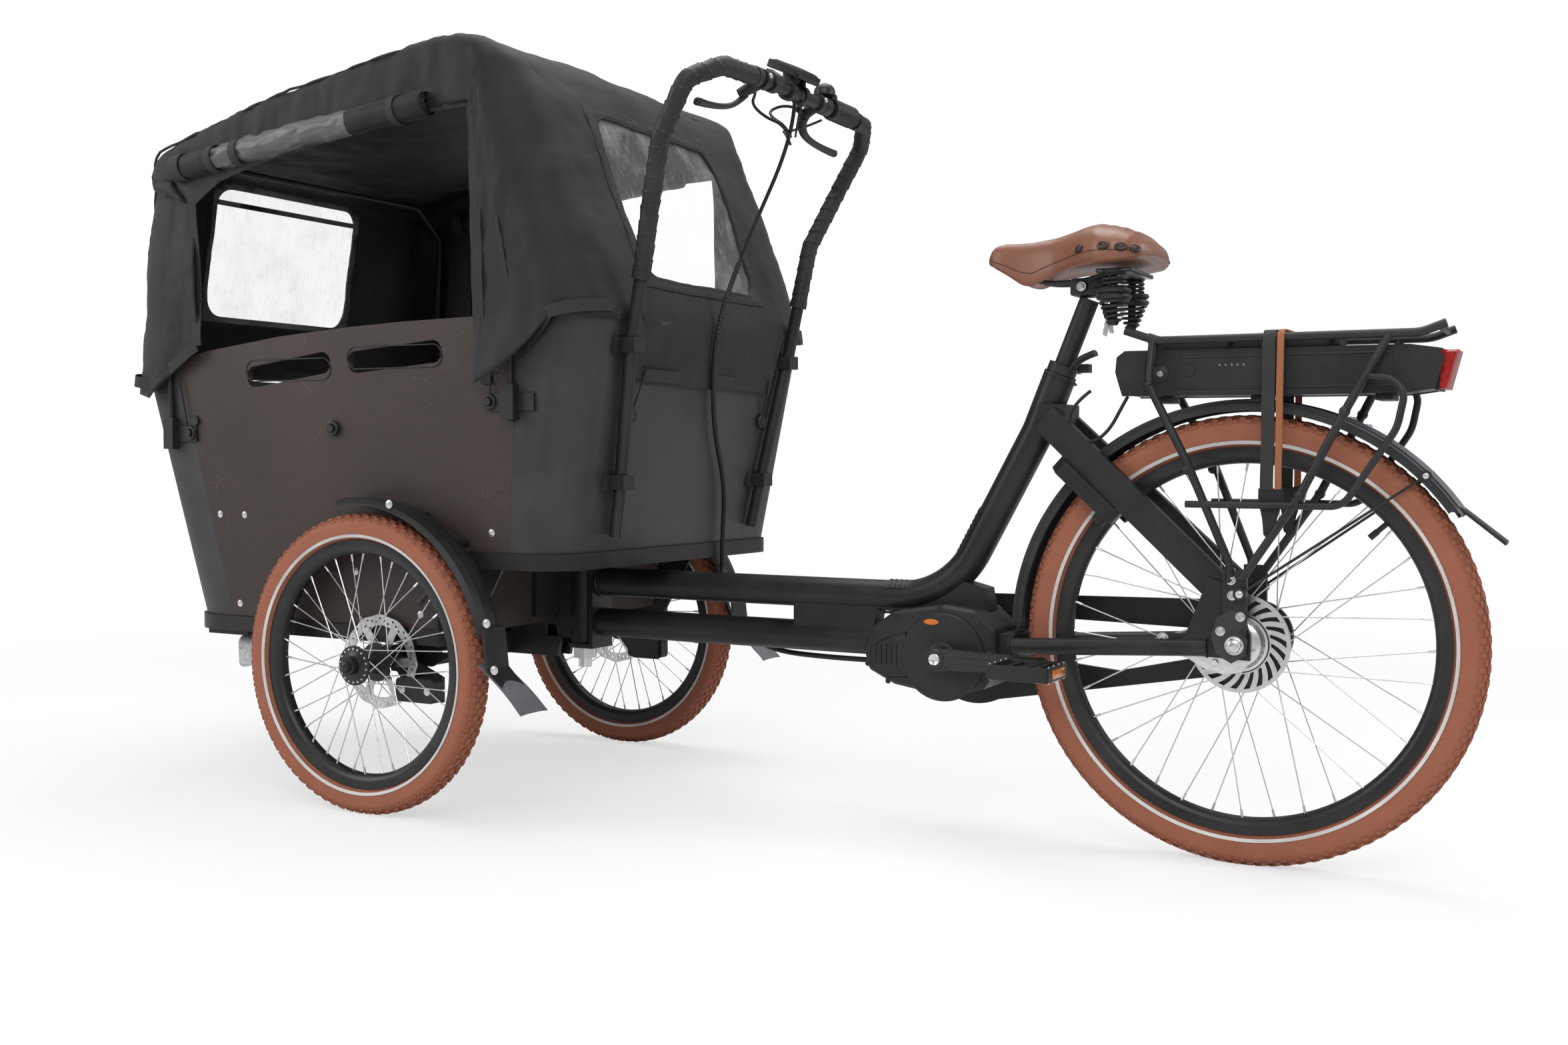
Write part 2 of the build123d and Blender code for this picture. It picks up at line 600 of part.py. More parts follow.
with BuildPart() as box_floor:
    rear_half = half_at(box_rear_z - floor_t) - ply - 2
    front_half = half_at(box_front_z - floor_t) - ply - 2
    with BuildSketch(Plane.XY.offset(box_rear_z - floor_t)):
        with BuildLine():
            Polyline((box_rear_x + 72, rear_half), (footwell_x + ply, rear_half), (footwell_x + ply, -rear_half),
                     (box_rear_x + 72, -rear_half), (box_rear_x + 10, -rear_half + 62),
                     (box_rear_x + 10, rear_half - 62), close=True)
        make_face()
    extrude(amount=floor_t - seat_gap)
    add(block((footwell_x, footwell_x + ply), (-front_half, front_half), (box_front_z - floor_t, box_rear_z - 1)))
    with BuildSketch(Plane.XY.offset(box_front_z - floor_t)):
        with BuildLine():
            Polyline((footwell_x, front_half), (box_front_x - 92, front_half),
                     (box_front_x - 12, front_half - 80), (box_front_x - 12, -front_half + 80),
                     (box_front_x - 92, -front_half), (footwell_x, -front_half), close=True)
        make_face()
    extrude(amount=floor_t - seat_gap)
finish(box_floor.part, "box_floor")


def belt_ring(z_top, x_open, x_end, corner):
    """A band round one end of the box's foot, open at x_open."""
    out = 1 if x_end > x_open else -1
    half = half_at(z_top) + belt_t
    width = belt_t + 12
    with BuildPart() as ring:
        add(end_section(z_top - seat_gap, half, x_open, x_end + out * belt_t, corner))
        extrude(amount=-belt_h)
        add(end_section(z_top - seat_gap, half - width, x_open - out, x_end + out * (belt_t - width), corner - width))
        extrude(amount=-belt_h, mode=Mode.SUBTRACT)
    return ring.part


with BuildPart() as belt:
    add(belt_ring(box_rear_z, footwell_x, box_rear_x, corner_rear))
    add(belt_ring(box_front_z, footwell_x - 6, box_front_x, corner_front))
    for sign in (1, -1):
        low, high = half_at(box_front_z) - 8, half_at(box_rear_z) + belt_t
        add(block((footwell_x - 6, footwell_x - seat_gap), sorted((sign * low, sign * high)),
                  (box_front_z - belt_h - seat_gap, box_rear_z - seat_gap)))
    add(box_floor.part, mode=Mode.SUBTRACT)
    add(side_panels.part, mode=Mode.SUBTRACT)
finish(belt.part, "box_belt")

# Bench inside the box
bench_z = 600.0
with BuildPart() as bench:
    half = half_at(bench_z) - ply - 3
    add(block((rear_x + 1000, rear_x + 1252), (-half + 10, half - 10), (bench_z, bench_z + 12)))
    add(block((rear_x + 1240, rear_x + 1252), (-320, 320), (box_rear_z, bench_z + 1)))
    add(block((rear_x + 1060, rear_x + 1241), (half - 12, half - 1), (bench_z - 30, bench_z + 1)))
    add(block((rear_x + 1060, rear_x + 1241), (-half + 1, -half + 12), (bench_z - 30, bench_z + 1)))
finish(bench.part, "bench")

# Front subframe
beam_z = box_front_z - 59.0
axle_z = front_wheel_r
rotor_mid = front_y - rotor_y
stub_inner = rotor_mid - 20.0
floor_low = box_front_z - floor_t - seat_gap
bay_low = box_rear_z - floor_t - seat_gap
gusset = [(steer_x + 4, 266), (steer_x + 40, 266), (steer_x + 46, beam_z - 19), (front_x + 16, beam_z - 19),
          (front_x + 16, beam_z + 18), (front_x - 24, floor_low), (footwell_x - 0.3, floor_low),
          (footwell_x - 0.3, 396), (steer_x + 4, 396)]
strut = [(footwell_x - 112, bay_low), (footwell_x - 62, bay_low), (footwell_x - 6.7, 340),
         (footwell_x - 6.7, floor_low), (footwell_x + 60, floor_low), (front_x - 16, beam_z + 12),
         (front_x - 16, beam_z - 10), (front_x - 70, beam_z - 10), (footwell_x - 26, 276)]
with BuildPart() as subframe:
    add(disc_flat((steer_x, 0), head_tube_d / 2, head_tube_low, head_tube_high))
    for sign in (1, -1):
        add(slab(gusset, *sorted((sign * 14, sign * 22))))
        add(slab(strut, *sorted((sign * 296, sign * 302))))
        add(block((footwell_x - 112, footwell_x - 64), sorted((sign * 270, sign * 302)), (bay_low - 5.7, bay_low)))
    add(block((footwell_x - 8.3, footwell_x - 0.3), (-90, 90), (310, 396)))
    add(block((front_x - 110, front_x + 16), (-22, 22), (beam_z - 19, beam_z - 11)))
    add(block((front_x - 20, front_x + 20), (-stub_inner, stub_inner), (beam_z - 18, beam_z + 22)))
    add(block((steer_x + 45, steer_x + 74), (-30, 30), (268, 289)), mode=Mode.SUBTRACT)
    for sign in (1, -1):
        add(disc((footwell_x - 42, 340), 12, *sorted((sign * 290, sign * 310))), mode=Mode.SUBTRACT)
        add(disc((front_x, axle_z), axle_d / 2, *sorted((sign * (stub_inner - 5), sign * (front_y + 46)))))
        add(disc((front_x, axle_z), 14, *sorted((sign * (front_y + front_flange_y + 6 + seat_gap), sign * (front_y + 42)))))
        add(disc((front_x, axle_z), 9.5, *sorted((sign * (stub_inner - 5), sign * (rotor_mid - 1)))))
        add(block((front_x - 20, front_x + 20), sorted((sign * (stub_inner - 5), sign * stub_inner)),
                  (min(beam_z, axle_z) - 18, max(beam_z, axle_z) + 22)))
        add(slab([(front_x - 118, axle_z - 64), (front_x - 60, axle_z - 64), (front_x - 16, axle_z - 14),
                  (front_x - 16, axle_z + 12), (front_x - 60, axle_z + 2), (front_x - 118, axle_z - 22)],
                 *sorted((sign * (stub_inner - 5), sign * (stub_inner + 2.7)))))
    add(disc_flat((steer_x, 0), pivot_bolt_d / 2 + pivot_fit, head_tube_low - 1, head_tube_high + 1), mode=Mode.SUBTRACT)
    add(belt.part, mode=Mode.SUBTRACT)
finish(subframe.part, "subframe")

# Brake calipers
with BuildPart() as calipers:
    for sign in (1, -1):
        low, high = sorted((sign * (stub_inner + 3), sign * (rotor_mid + 8)))
        add(block((front_x - 122, front_x - 40), (low, high), (axle_z - 63, axle_z - 23)))
    fillet(calipers.edges().filter_by(Axis.Y), 8)
    for sign in (1, -1):
        add(disc((front_x, axle_z), rotor_r + 4, sign * rotor_mid - 2.5, sign * rotor_mid + 2.5), mode=Mode.SUBTRACT)
        add(disc((front_x, axle_z), 44, *sorted((sign * (rotor_mid - 2), sign * (rotor_mid + 12)))), mode=Mode.SUBTRACT)
finish(calipers.part, "calipers")

# Front fenders
fender_start = 82
with BuildPart() as front_fenders:
    for sign in (1, -1):
        hub = (front_x, sign * front_y, front_wheel_r)
        start = Plane(hub, x_dir=(cos(radians(fender_start)), 0, sin(radians(fender_start))),
                      z_dir=(-sin(radians(fender_start)), 0, cos(radians(fender_start))))
        with BuildSketch(start):
            with BuildLine():
                Polyline(*[(front_wheel_r + out, y) for out, y in
                           ((20, -30), (26, -23), (29, -10), (29, 10), (26, 23), (20, 30), (18, 29),
                            (23.5, 22), (26.5, 9.5), (26.5, -9.5), (23.5, -22), (18, -29))], close=True)
            make_face()
        revolve(axis=Axis(hub, (0, -1, 0)), revolution_arc=84)
        add(slab([(front_x - 272, front_wheel_r + 76), (front_x - 268, front_wheel_r + 78),
                  (front_x - 276, front_wheel_r + 10), (front_x - 346, front_wheel_r - 55),
                  (front_x - 349, front_wheel_r - 52), (front_x - 280, front_wheel_r + 12)],
                 sign * front_y - 27, sign * front_y + 27))
        for x, z in ((front_x - 96, front_wheel_r + 252), (front_x - 178, front_wheel_r + 207)):
            low, high = sorted((sign * (half_at(z) - 8), sign * (front_y - 27)))
            add(block((x - 12, x + 12), (low, high), (z - 3, z + 3)))
    add(side_panels.part, mode=Mode.SUBTRACT)
finish(front_fenders.part, "front_fenders")

# Step and lamps under the front edge of the box
with BuildPart() as steps:
    for sign in (1, -1):
        add(block((rear_x + 1700, rear_x + 1800), sorted((sign * 275, sign * 325)), (272, 281.5)))
        add(block((rear_x + 1712, rear_x + 1790), sorted((sign * 290, sign * 316)), (280, 296.7)))
    add(belt.part, mode=Mode.SUBTRACT)
finish(steps.part, "steps")

lamp_x = rear_x + 1760.0
with BuildPart() as headlights:
    for sign in (1, -1):
        with BuildSketch(Plane((lamp_x - 36, sign * 262, 236), z_dir=(1, 0, 0))):
            RectangleRounded(46, 34, 10)
        with BuildSketch(Plane((lamp_x + 10, sign * 262, 234), z_dir=(1, 0, 0))):
            RectangleRounded(60, 42, 14)
        loft()
        add(block((lamp_x - 26, lamp_x - 6), sorted((sign * 256, sign * 268)), (250, 296.7)))
finish(headlights.part, "headlights")

# Canopy
canopy_side = [(936, 680), (926, 735), (911, 822), (914, 840), (931, 889), (1046, 1181), (1085, 1245), (1130, 1270),
               (1215, 1277), (1343, 1260), (1587, 1221), (1792, 1172), (1868, 1150), (1918, 1132), (1978, 760),
               (1991, 680)]
front_slant = Vector(60, 0, -372)
rear_slant = Vector(-115, 0, -292)


def corner_cut(x, half, radius, out, slant, z_top, depth):
    """What a rounded upright corner takes off, down a slanted edge."""
    with BuildPart() as piece:
        for sign in (1, -1):
            with BuildSketch(Plane.XY.offset(z_top)):
                with BuildLine():
                    mid_x = x - out * radius
                    mid_y = sign * (half - radius)
                    Line((x + out * 60, mid_y), (x, mid_y))
                    ThreePointArc((x, mid_y), (mid_x + out * radius * cos(radians(45)),
                                               mid_y + sign * radius * sin(radians(45))), (mid_x, sign * half))
                    Polyline((mid_x, sign * half), (mid_x, sign * (half + 40)),
                             (x + out * 60, sign * (half + 40)), (x + out * 60, mid_y))
                make_face()
            extrude(amount=depth, dir=slant.normalized())
    return piece.part


def canopy_solid(inset):
    """The canopy's outside, drawn in by a thickness of cloth."""
    with BuildPart() as body:
        with BuildSketch(Plane.XZ.offset(-canopy_half + inset)):
            with BuildLine():
                Polyline(*[(rear_x + x, z) for x, z in canopy_side], close=True)
            make_face()
            if inset:
                offset(amount=-inset, kind=Kind.INTERSECTION, mode=Mode.REPLACE)
        extrude(amount=2 * (canopy_half - inset))
        add(corner_cut(rear_x + 1891 - inset, canopy_half - inset, canopy_corner - inset, 1,
                       front_slant, 1300, 620), mode=Mode.SUBTRACT)
        add(corner_cut(rear_x + 1093 + inset, canopy_half - inset, 72 - inset, -1, rear_slant, 1300, 460),
            mode=Mode.SUBTRACT)
        add(corner_cut(rear_x + 912 + inset, canopy_half - inset, 72 - inset, -1, Vector(15, 0, -87), 842, 150),
            mode=Mode.SUBTRACT)
    return body.part


door_roll_low = 1108.0
door_roll_high = 1166.0
window_front = ((rear_x + 1880, rear_x + 2000), (-190, 190), (865, 1105))
window_rear = ((rear_x + 920, rear_x + 1048), (-190, 190), (889, 1170))
with BuildPart() as canopy:
    add(canopy_solid(0.0))
    add(canopy_solid(cloth), mode=Mode.SUBTRACT)
    with BuildSketch(Plane.XZ.offset(-500)):
        with BuildLine():
            Polyline(*[(rear_x + x, z) for x, z in
                       ((1125, 600), (1125, 719), (1136, 1165), (1269, 1160), (1669, 1103), (1769, 1050),
                        (1758, 792), (1912, 705), (2100, 690), (2100, 600))], close=True)
        make_face()
    extrude(amount=1000, mode=Mode.SUBTRACT)
    add(block((rear_x + 1875, rear_x + 2100), (-500, 500), (600, 752)), mode=Mode.SUBTRACT)
    for sign in (1, -1):
        add(slab([(rear_x + 850, 600), (rear_x + 850, 838), (rear_x + 960, 830), (rear_x + 1000, 768),
                  (rear_x + 1135, 719), (rear_x + 1135, 600)], *sorted((sign * 285, sign * 500))), mode=Mode.SUBTRACT)
        add(block((rear_x + 850, rear_x + 1000), sorted((sign * 232, sign * 290)), (600, 838)), mode=Mode.SUBTRACT)
        add(rod((rear_x + 1215, sign * (canopy_half + 3), door_roll_high + 1),
                (rear_x + 1810, sign * (canopy_half + 3), door_roll_low - 1), door_roll_d + 0.6), mode=Mode.SUBTRACT)
    add(block((rear_x + 850, rear_x + 1000), (-240, 240), (600, 738)), mode=Mode.SUBTRACT)
    add(block((rear_x + 850, rear_x + 2100), (-500, 500), (600, 703)), mode=Mode.SUBTRACT)
with BuildPart() as film:
    add(canopy.part)
    with BuildPart(mode=Mode.INTERSECT):
        for x, y, z in (window_front, window_rear):
            add(block(x, (y[0] + 0.2, y[1] - 0.2), (z[0] + 0.2, z[1] - 0.2)))
finish(film.part, "canopy_windows")
with BuildPart() as canopy_shell:
    add(canopy.part)
    for window in (window_front, window_rear):
        add(block(*window), mode=Mode.SUBTRACT)

with BuildPart() as door_rolls:
    for sign in (1, -1):
        add(rod((rear_x + 1225, sign * (canopy_half + 3), door_roll_high),
                (rear_x + 1800, sign * (canopy_half + 3), door_roll_low), door_roll_d))
finish(door_rolls.part, "door_rolls")

# Poles inside the canopy, with their sockets on the box


def hoop(x_low, x_mid, x_top, z_foot, z_top):
    """One pole: up a side, over under the roof and down the other side."""
    leg = [(x_low, half_at(z_foot) + pole_d / 2 + 0.3, z_foot), (x_low, half_at(830) + pole_d / 2 + 0.3, 830),
           (x_mid, canopy_half - cloth - pole_d / 2 - 6, 900), (x_top, canopy_half - cloth - pole_d / 2 - 6, z_top - 60),
           (x_top, canopy_half - 90, z_top)]
    points = [(rear_x + x, y, z) for x, y, z in leg]
    points += [(x, -y, z) for x, y, z in reversed(points)]
    return round_bar(points, pole_d, 25)


with BuildPart() as canopy_poles:
    add(hoop(1847, 1850, 1840, 613, 1135))
    add(hoop(1070, 1072, 1100, 653, 1240))
finish(canopy_poles.part, "canopy_poles")
with BuildPart() as pole_sockets:
    for sign in (1, -1):
        for x, z, reach in ((rear_x + 1847, 637, -60), (rear_x + 1070, 684, -44)):
            half = half_at(z)
            if x > rear_x + 1500:
                x_low, x_high = x + reach, x + 12
            else:
                x_low, x_high = x + reach, x + 50
            add(block((x_low, x_high), sorted((sign * (half - 6), sign * (half + 4.5))), (z - 14, z + 14)))
            add(block((x - 12, x + 12), sorted((sign * (half - 6), sign * (half + 16))), (z - 28, z + 28)))
    add(side_panels.part, mode=Mode.SUBTRACT)
    add(back_panel, mode=Mode.SUBTRACT)
    add(front_panel, mode=Mode.SUBTRACT)
    for sign in (1, -1):
        for x in (1847, 1070):
            add(block((rear_x + x - 40 - 40, rear_x + x + 80), sorted((sign * 200, sign * 346)), (600, 720)),
                mode=Mode.SUBTRACT)
            add(rod((rear_x + x, sign * (half_at(600) + 5.3), 600), (rear_x + x, sign * (half_at(740) + 5.3), 740),
                    pole_d + 0.4), mode=Mode.SUBTRACT)
finish(pole_sockets.part, "pole_sockets")
with BuildPart() as canopy_cloth:
    add(canopy_shell.part)
    for sign in (1, -1):
        for x in (1847, 1070):
            add(rod((rear_x + x, sign * (half_at(600) + 5.3), 600), (rear_x + x, sign * (half_at(845) + 5.3), 845),
                    pole_d + 1), mode=Mode.SUBTRACT)
finish(canopy_cloth.part, "canopy")

with BuildPart() as box_pegs:
    for sign in (1, -1):
        for x, z in ((rear_x + 1450, 644), (rear_x + 1790, 660)):
            add(disc((x, z), 9, *sorted((sign * (half_at(z) - 6), sign * (half_at(z) + 5)))))
    add(side_panels.part, mode=Mode.SUBTRACT)
    for sign in (1, -1):
        wall_x = box_rear_x - back_lean * (665 - box_rear_z)
        add(rod((wall_x - 10, sign * 216, 665), (wall_x + 4, sign * 216, 665), 18))
    add(back_panel, mode=Mode.SUBTRACT)
finish(box_pegs.part, "box_pegs")

# Push bar
bar_left = [(rear_x + x, y, z) for x, y, z in
            ((966, 224, 467), (950, 232, 556), (908, 262, 790), (888, 264, 885), (868, 270, 990),
             (828, 302, 1090), (780, 306, 1172), (748, 250, 1200), (743, 150, 1202))]
bar_right = [(x, -y, z) for x, y, z in reversed(bar_left)]
with BuildPart() as push_bar:
    add(round_bar(bar_left + bar_right, bar_d, 30))
    for sign in (1, -1):
        add(rod((rear_x + 963, sign * 224, 474), (rear_x + 1000, sign * 224, 478), 12))
    add(back_panel, mode=Mode.SUBTRACT)
    add(block((rear_x + 975, rear_x + 1100), (-300, 300), (468, 490)), mode=Mode.SUBTRACT)
finish(push_bar.part, "push_bar")

grip_foot = [rear_x + 889.4, 263.86, 878.35]
with BuildPart() as bar_tape:
    left = [tuple(grip_foot)] + bar_left[3:8] + [(rear_x + 743.1, 152, 1201.96)]
    right = [(rear_x + 745.75, -205, 1200.9)] + bar_right[1:6] + [(grip_foot[0], -grip_foot[1], grip_foot[2])]
    for path in (left, right):
        add(round_bar(path, tape_d, 30))
    add(round_bar(bar_left + bar_right, bar_d + 0.4, 30), mode=Mode.SUBTRACT)
finish(bar_tape.part, "bar_tape")

with BuildPart() as bar_clamps:
    for sign in (1, -1):
        for foot, top, z in ((bar_left[1], bar_left[2], 556), (bar_left[1], bar_left[2], 775)):
            t = (z - foot[2]) / (top[2] - foot[2])
            x = foot[0] + t * (top[0] - foot[0])
            y = foot[1] + t * (top[1] - foot[1])
            wall_x = box_rear_x - back_lean * (z - box_rear_z)
            add(block((x - 16, wall_x + 2), sorted((sign * (y - 16), sign * (y + 16))), (z - 12, z + 12)))
            add(block((wall_x - 6, wall_x + 6), sorted((sign * (y - 34), sign * (y + 34))), (z - 13, z + 13)))
    add(round_bar(bar_left + bar_right, bar_d + 0.2, 30), mode=Mode.SUBTRACT)
    add(back_panel, mode=Mode.SUBTRACT)
    add(canopy.part, mode=Mode.SUBTRACT)
finish(bar_clamps.part, "bar_clamps")

# Controls on the bar
bar_top_x = rear_x + 743.0
with BuildPart() as bar_display:
    add(block((bar_top_x - 34, bar_top_x + 34), (-6, 56), (1216, 1258)))
    fillet(bar_display.edges().filter_by(Axis.Y), 8)
    add(block((bar_top_x - 14, bar_top_x + 14), (10, 40), (1188, 1217)))
    add(block((bar_top_x - 20, bar_top_x + 22), (90, 118), (1188, 1222)))
    add(round_bar(bar_left + bar_right, bar_d + 0.2, 30), mode=Mode.SUBTRACT)
finish(bar_display.part, "bar_display")

with BuildPart() as bar_controls:
    add(rod((bar_top_x, -104, 1202), (bar_top_x, -190, 1202), 38))
    add(rod((bar_top_x, -70, 1202), (bar_top_x, -90, 1202), 32))
    with Locations((bar_top_x - 2, -80, 1230)):
        Cylinder(19, 22)
    add(round_bar(bar_left + bar_right, bar_d + 0.2, 30), mode=Mode.SUBTRACT)
finish(bar_controls.part, "bar_controls")

with BuildPart() as brake_levers:
    for sign in (1, -1):
        y_clamp = sign * (134 if sign > 0 else 60)
        add(rod((bar_top_x, y_clamp - 8, 1202), (bar_top_x, y_clamp + 8, 1202), 34))
        add(block((bar_top_x + 8, bar_top_x + 44), (y_clamp - 10, y_clamp + 10), (1178, 1200)))
        add(slab([(bar_top_x + 26, 1186), (bar_top_x + 42, 1186), (bar_top_x + 50, 1142), (bar_top_x + 34, 1142)],
                 *sorted((y_clamp - 8, y_clamp + 8))))
        add(slab([(bar_top_x + 32, 1154), (bar_top_x + 48, 1154), (bar_top_x + 50, 1140), (bar_top_x + 34, 1140)],
                 *sorted((y_clamp, y_clamp + sign * 140))))
    add(round_bar(bar_left + bar_right, bar_d + 0.2, 30), mode=Mode.SUBTRACT)
finish(brake_levers.part, "brake_levers")

# Cable loom from the bar to the motor, in two lengths that meet under the box
cable_d = 9.0
loom_front = [(743, 25, 1187.8), (748, 22, 1130), (868, -45, 985), (900, -20, 880), (908, 4, 800), (922, -11, 729),
              (936, -40, 640), (952, -105, 545), (972, -128, 445), (972, -128, 404)]
loom_rear = [(972, -128, 403.8), (972, -128, 365), (915, -66, 300), (820, -24, 265), (700, 0, 261), (598.2, 0, 262)]
for name, route in (("cable_front", loom_front), ("cable_rear", loom_rear)):
    finish(round_bar([(rear_x + x, y, z) for x, y, z in route], cable_d, 45), name)
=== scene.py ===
"""Electric cargo trike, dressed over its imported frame. Metres, +X forward, +Y left, +Z up."""

import json
from math import cos, hypot, pi, radians, sin

import bmesh
import bpy
from mathutils import Matrix, Vector
from mathutils.noise import fractal


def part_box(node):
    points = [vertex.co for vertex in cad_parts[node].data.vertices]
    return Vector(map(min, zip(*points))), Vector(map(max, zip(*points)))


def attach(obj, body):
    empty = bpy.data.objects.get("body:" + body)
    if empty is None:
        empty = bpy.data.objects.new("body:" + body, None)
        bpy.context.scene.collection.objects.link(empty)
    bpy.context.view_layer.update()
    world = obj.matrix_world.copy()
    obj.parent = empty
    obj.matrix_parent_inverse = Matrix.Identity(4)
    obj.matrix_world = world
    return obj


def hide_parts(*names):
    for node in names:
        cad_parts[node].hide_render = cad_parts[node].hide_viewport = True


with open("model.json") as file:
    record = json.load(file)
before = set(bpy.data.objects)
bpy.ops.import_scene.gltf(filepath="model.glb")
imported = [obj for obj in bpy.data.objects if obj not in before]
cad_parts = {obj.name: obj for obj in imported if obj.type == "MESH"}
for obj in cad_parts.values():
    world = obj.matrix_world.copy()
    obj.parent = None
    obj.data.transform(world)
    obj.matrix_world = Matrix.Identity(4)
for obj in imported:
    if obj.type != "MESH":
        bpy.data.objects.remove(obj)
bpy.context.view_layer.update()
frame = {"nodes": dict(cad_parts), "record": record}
nodes = frame["nodes"]
scene = bpy.context.scene

# Tyre radii, and where the wheels and the crank are, from the rear axle forward
REAR_WHEEL_R = 0.330
FRONT_WHEEL_R = 0.250
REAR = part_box("rear_tyre")[0].x + REAR_WHEEL_R
WHEELBASE = 1.360
FRONT = REAR + WHEELBASE
CRANK = Vector((REAR + 0.453, 0.0, 0.284))
REAR_HUB = Vector((REAR, 0.0, REAR_WHEEL_R))
TRACK_HALF = 0.385


def at(x, y, z):
    """A point given in millimetres from the ground under the rear axle."""
    return Vector((REAR + x / 1000, y / 1000, z / 1000))


# Camera: its turn in degrees, its place in millimetres and its focal length in the photograph's pixels
CAMERA_YAW, CAMERA_PITCH, CAMERA_ROLL = 28.482, -2.360, 0.203
CAMERA_PLACE = (-498.95, 2346.08, 596.59)
CAMERA_FOCAL = 2351.62
PICTURE_WIDTH = 2352
SENSOR_WIDTH = 36.0


def place_camera():
    yaw = radians(CAMERA_YAW)
    pitch = radians(CAMERA_PITCH)
    roll = radians(CAMERA_ROLL)
    look = Vector((sin(yaw) * cos(pitch), -cos(yaw) * cos(pitch), sin(pitch)))
    right = look.cross(Vector((0, 0, 1))).normalized()
    up = right.cross(look)
    right, up = cos(roll) * right + sin(roll) * up, -sin(roll) * right + cos(roll) * up
    camera = bpy.data.objects.new("camera", bpy.data.cameras.new("camera"))
    scene.collection.objects.link(camera)
    turn = Matrix((right, up, -look)).transposed().to_4x4()
    camera.matrix_world = Matrix.Translation(at(*CAMERA_PLACE)) @ turn
    camera.data.sensor_width = SENSOR_WIDTH
    camera.data.lens = SENSOR_WIDTH * CAMERA_FOCAL / PICTURE_WIDTH
    camera.data.clip_end = 60.0
    bpy.context.scene.camera = camera


place_camera()


# Shader sockets with arithmetic
class Wire:
    """A shader output that takes part in plain arithmetic."""

    def __init__(self, tree, socket):
        self.tree = tree
        self.socket = socket

    def math(self, operation, *others):
        node = self.tree.nodes.new("ShaderNodeMath")
        node.operation = operation
        for slot, value in zip(node.inputs, (self,) + others):
            if isinstance(value, Wire):
                self.tree.links.new(value.socket, slot)
            else:
                slot.default_value = value
        return Wire(self.tree, node.outputs[0])

    def flipped(self, operation, other):
        node = self.tree.nodes.new("ShaderNodeMath")
        node.operation = operation
        node.inputs[0].default_value = other
        self.tree.links.new(self.socket, node.inputs[1])
        return Wire(self.tree, node.outputs[0])

    def __add__(self, other):
        return self.math("ADD", other)

    __radd__ = __add__

    def __sub__(self, other):
        return self.math("SUBTRACT", other)

    def __rsub__(self, other):
        return self.flipped("SUBTRACT", other)

    def __mul__(self, other):
        return self.math("MULTIPLY", other)

    __rmul__ = __mul__

    def __truediv__(self, other):
        return self.math("DIVIDE", other)

    def below(self, other):
        return self.math("LESS_THAN", other)

    def clamped(self):
        return self.math("MAXIMUM", 0.0).math("MINIMUM", 1.0)

    def ramp(self, low, high):
        """0 below low, 1 above high, straight between."""
        return ((self - low) / (high - low)).clamped()


class Finish:
    """One material under construction."""

    def __init__(self, name):
        self.material = bpy.data.materials.new(name)
        self.material.use_nodes = True
        self.tree = self.material.node_tree
        self.shader = self.tree.nodes["Principled BSDF"]
        self.output = self.tree.nodes["Material Output"]

    def node(self, kind, settings=None, output=0, **inputs):
        """Any node: its settings first, then the values or links of its sockets."""
        made = self.tree.nodes.new(kind)
        for key, value in (settings or {}).items():
            setattr(made, key, value)
        for key, value in inputs.items():
            socket = made.inputs[int(key[1:])] if key[0] == "i" and key[1:].isdigit() else made.inputs[key]
            self.feed(socket, value)
        return Wire(self.tree, made.outputs[output])

    def feed(self, socket, value):
        if isinstance(value, Wire):
            self.tree.links.new(value.socket, socket)
        else:
            socket.default_value = value

    def set(self, **inputs):
        for key, value in inputs.items():
            self.feed(self.shader.inputs[key.replace("_", " ")], value)
        return self

    def place(self):
        return self.node("ShaderNodeTexCoord", output=3)

    def axis(self, name, source=None):
        split = self.tree.nodes.new("ShaderNodeSeparateXYZ")
        self.tree.links.new((source or self.place()).socket, split.inputs[0])
        return Wire(self.tree, split.outputs["XYZ".index(name)])

    def stretched(self, scale, turn=(0, 0, 0), source=None):
        return self.node("ShaderNodeMapping", i0=source or self.place(), i2=turn, i3=scale)

    def noise(self, scale, detail=3.0, roughness=0.55, source=None):
        return self.node("ShaderNodeTexNoise", Vector=source or self.place(), Scale=scale, Detail=detail,
                         Roughness=roughness)

    def blend(self, factor, low, high):
        """A colour between two, by a factor."""
        node = self.tree.nodes.new("ShaderNodeMix")
        node.data_type = "RGBA"
        self.feed(node.inputs[0], factor)
        self.feed(node.inputs[6], low if isinstance(low, Wire) else (*low, 1.0))
        self.feed(node.inputs[7], high if isinstance(high, Wire) else (*high, 1.0))
        return Wire(self.tree, node.outputs[2])

    def relief(self, height, depth, distance=0.001):
        """Bump from a height between 0 and 1."""
        return self.node("ShaderNodeBump", Strength=depth, Distance=distance, Height=height)


def metal_paint(name, colour, rough, grain=900.0, fleck=0.25):
    """Powder coat: fine orange peel, slight change of gloss, dust and small rubs."""
    look = Finish(name)
    peel = look.noise(grain, 2.0)
    drift = look.noise(9.0, 4.0)
    rub = look.noise(55.0, 6.0, 0.7).ramp(0.66, 0.74)
    pale = tuple(min(1.0, c * 1.6 + 0.02) for c in colour)
    look.set(Base_Color=look.blend(drift.ramp(0.35, 0.75) * 0.5 + rub * fleck, colour, pale),
             Roughness=(drift * 0.22 + rough - 0.11).clamped(),
             Normal=look.relief(peel, 0.12, 0.0004))
    look.set(Specular_IOR_Level=0.30)
    return look.material


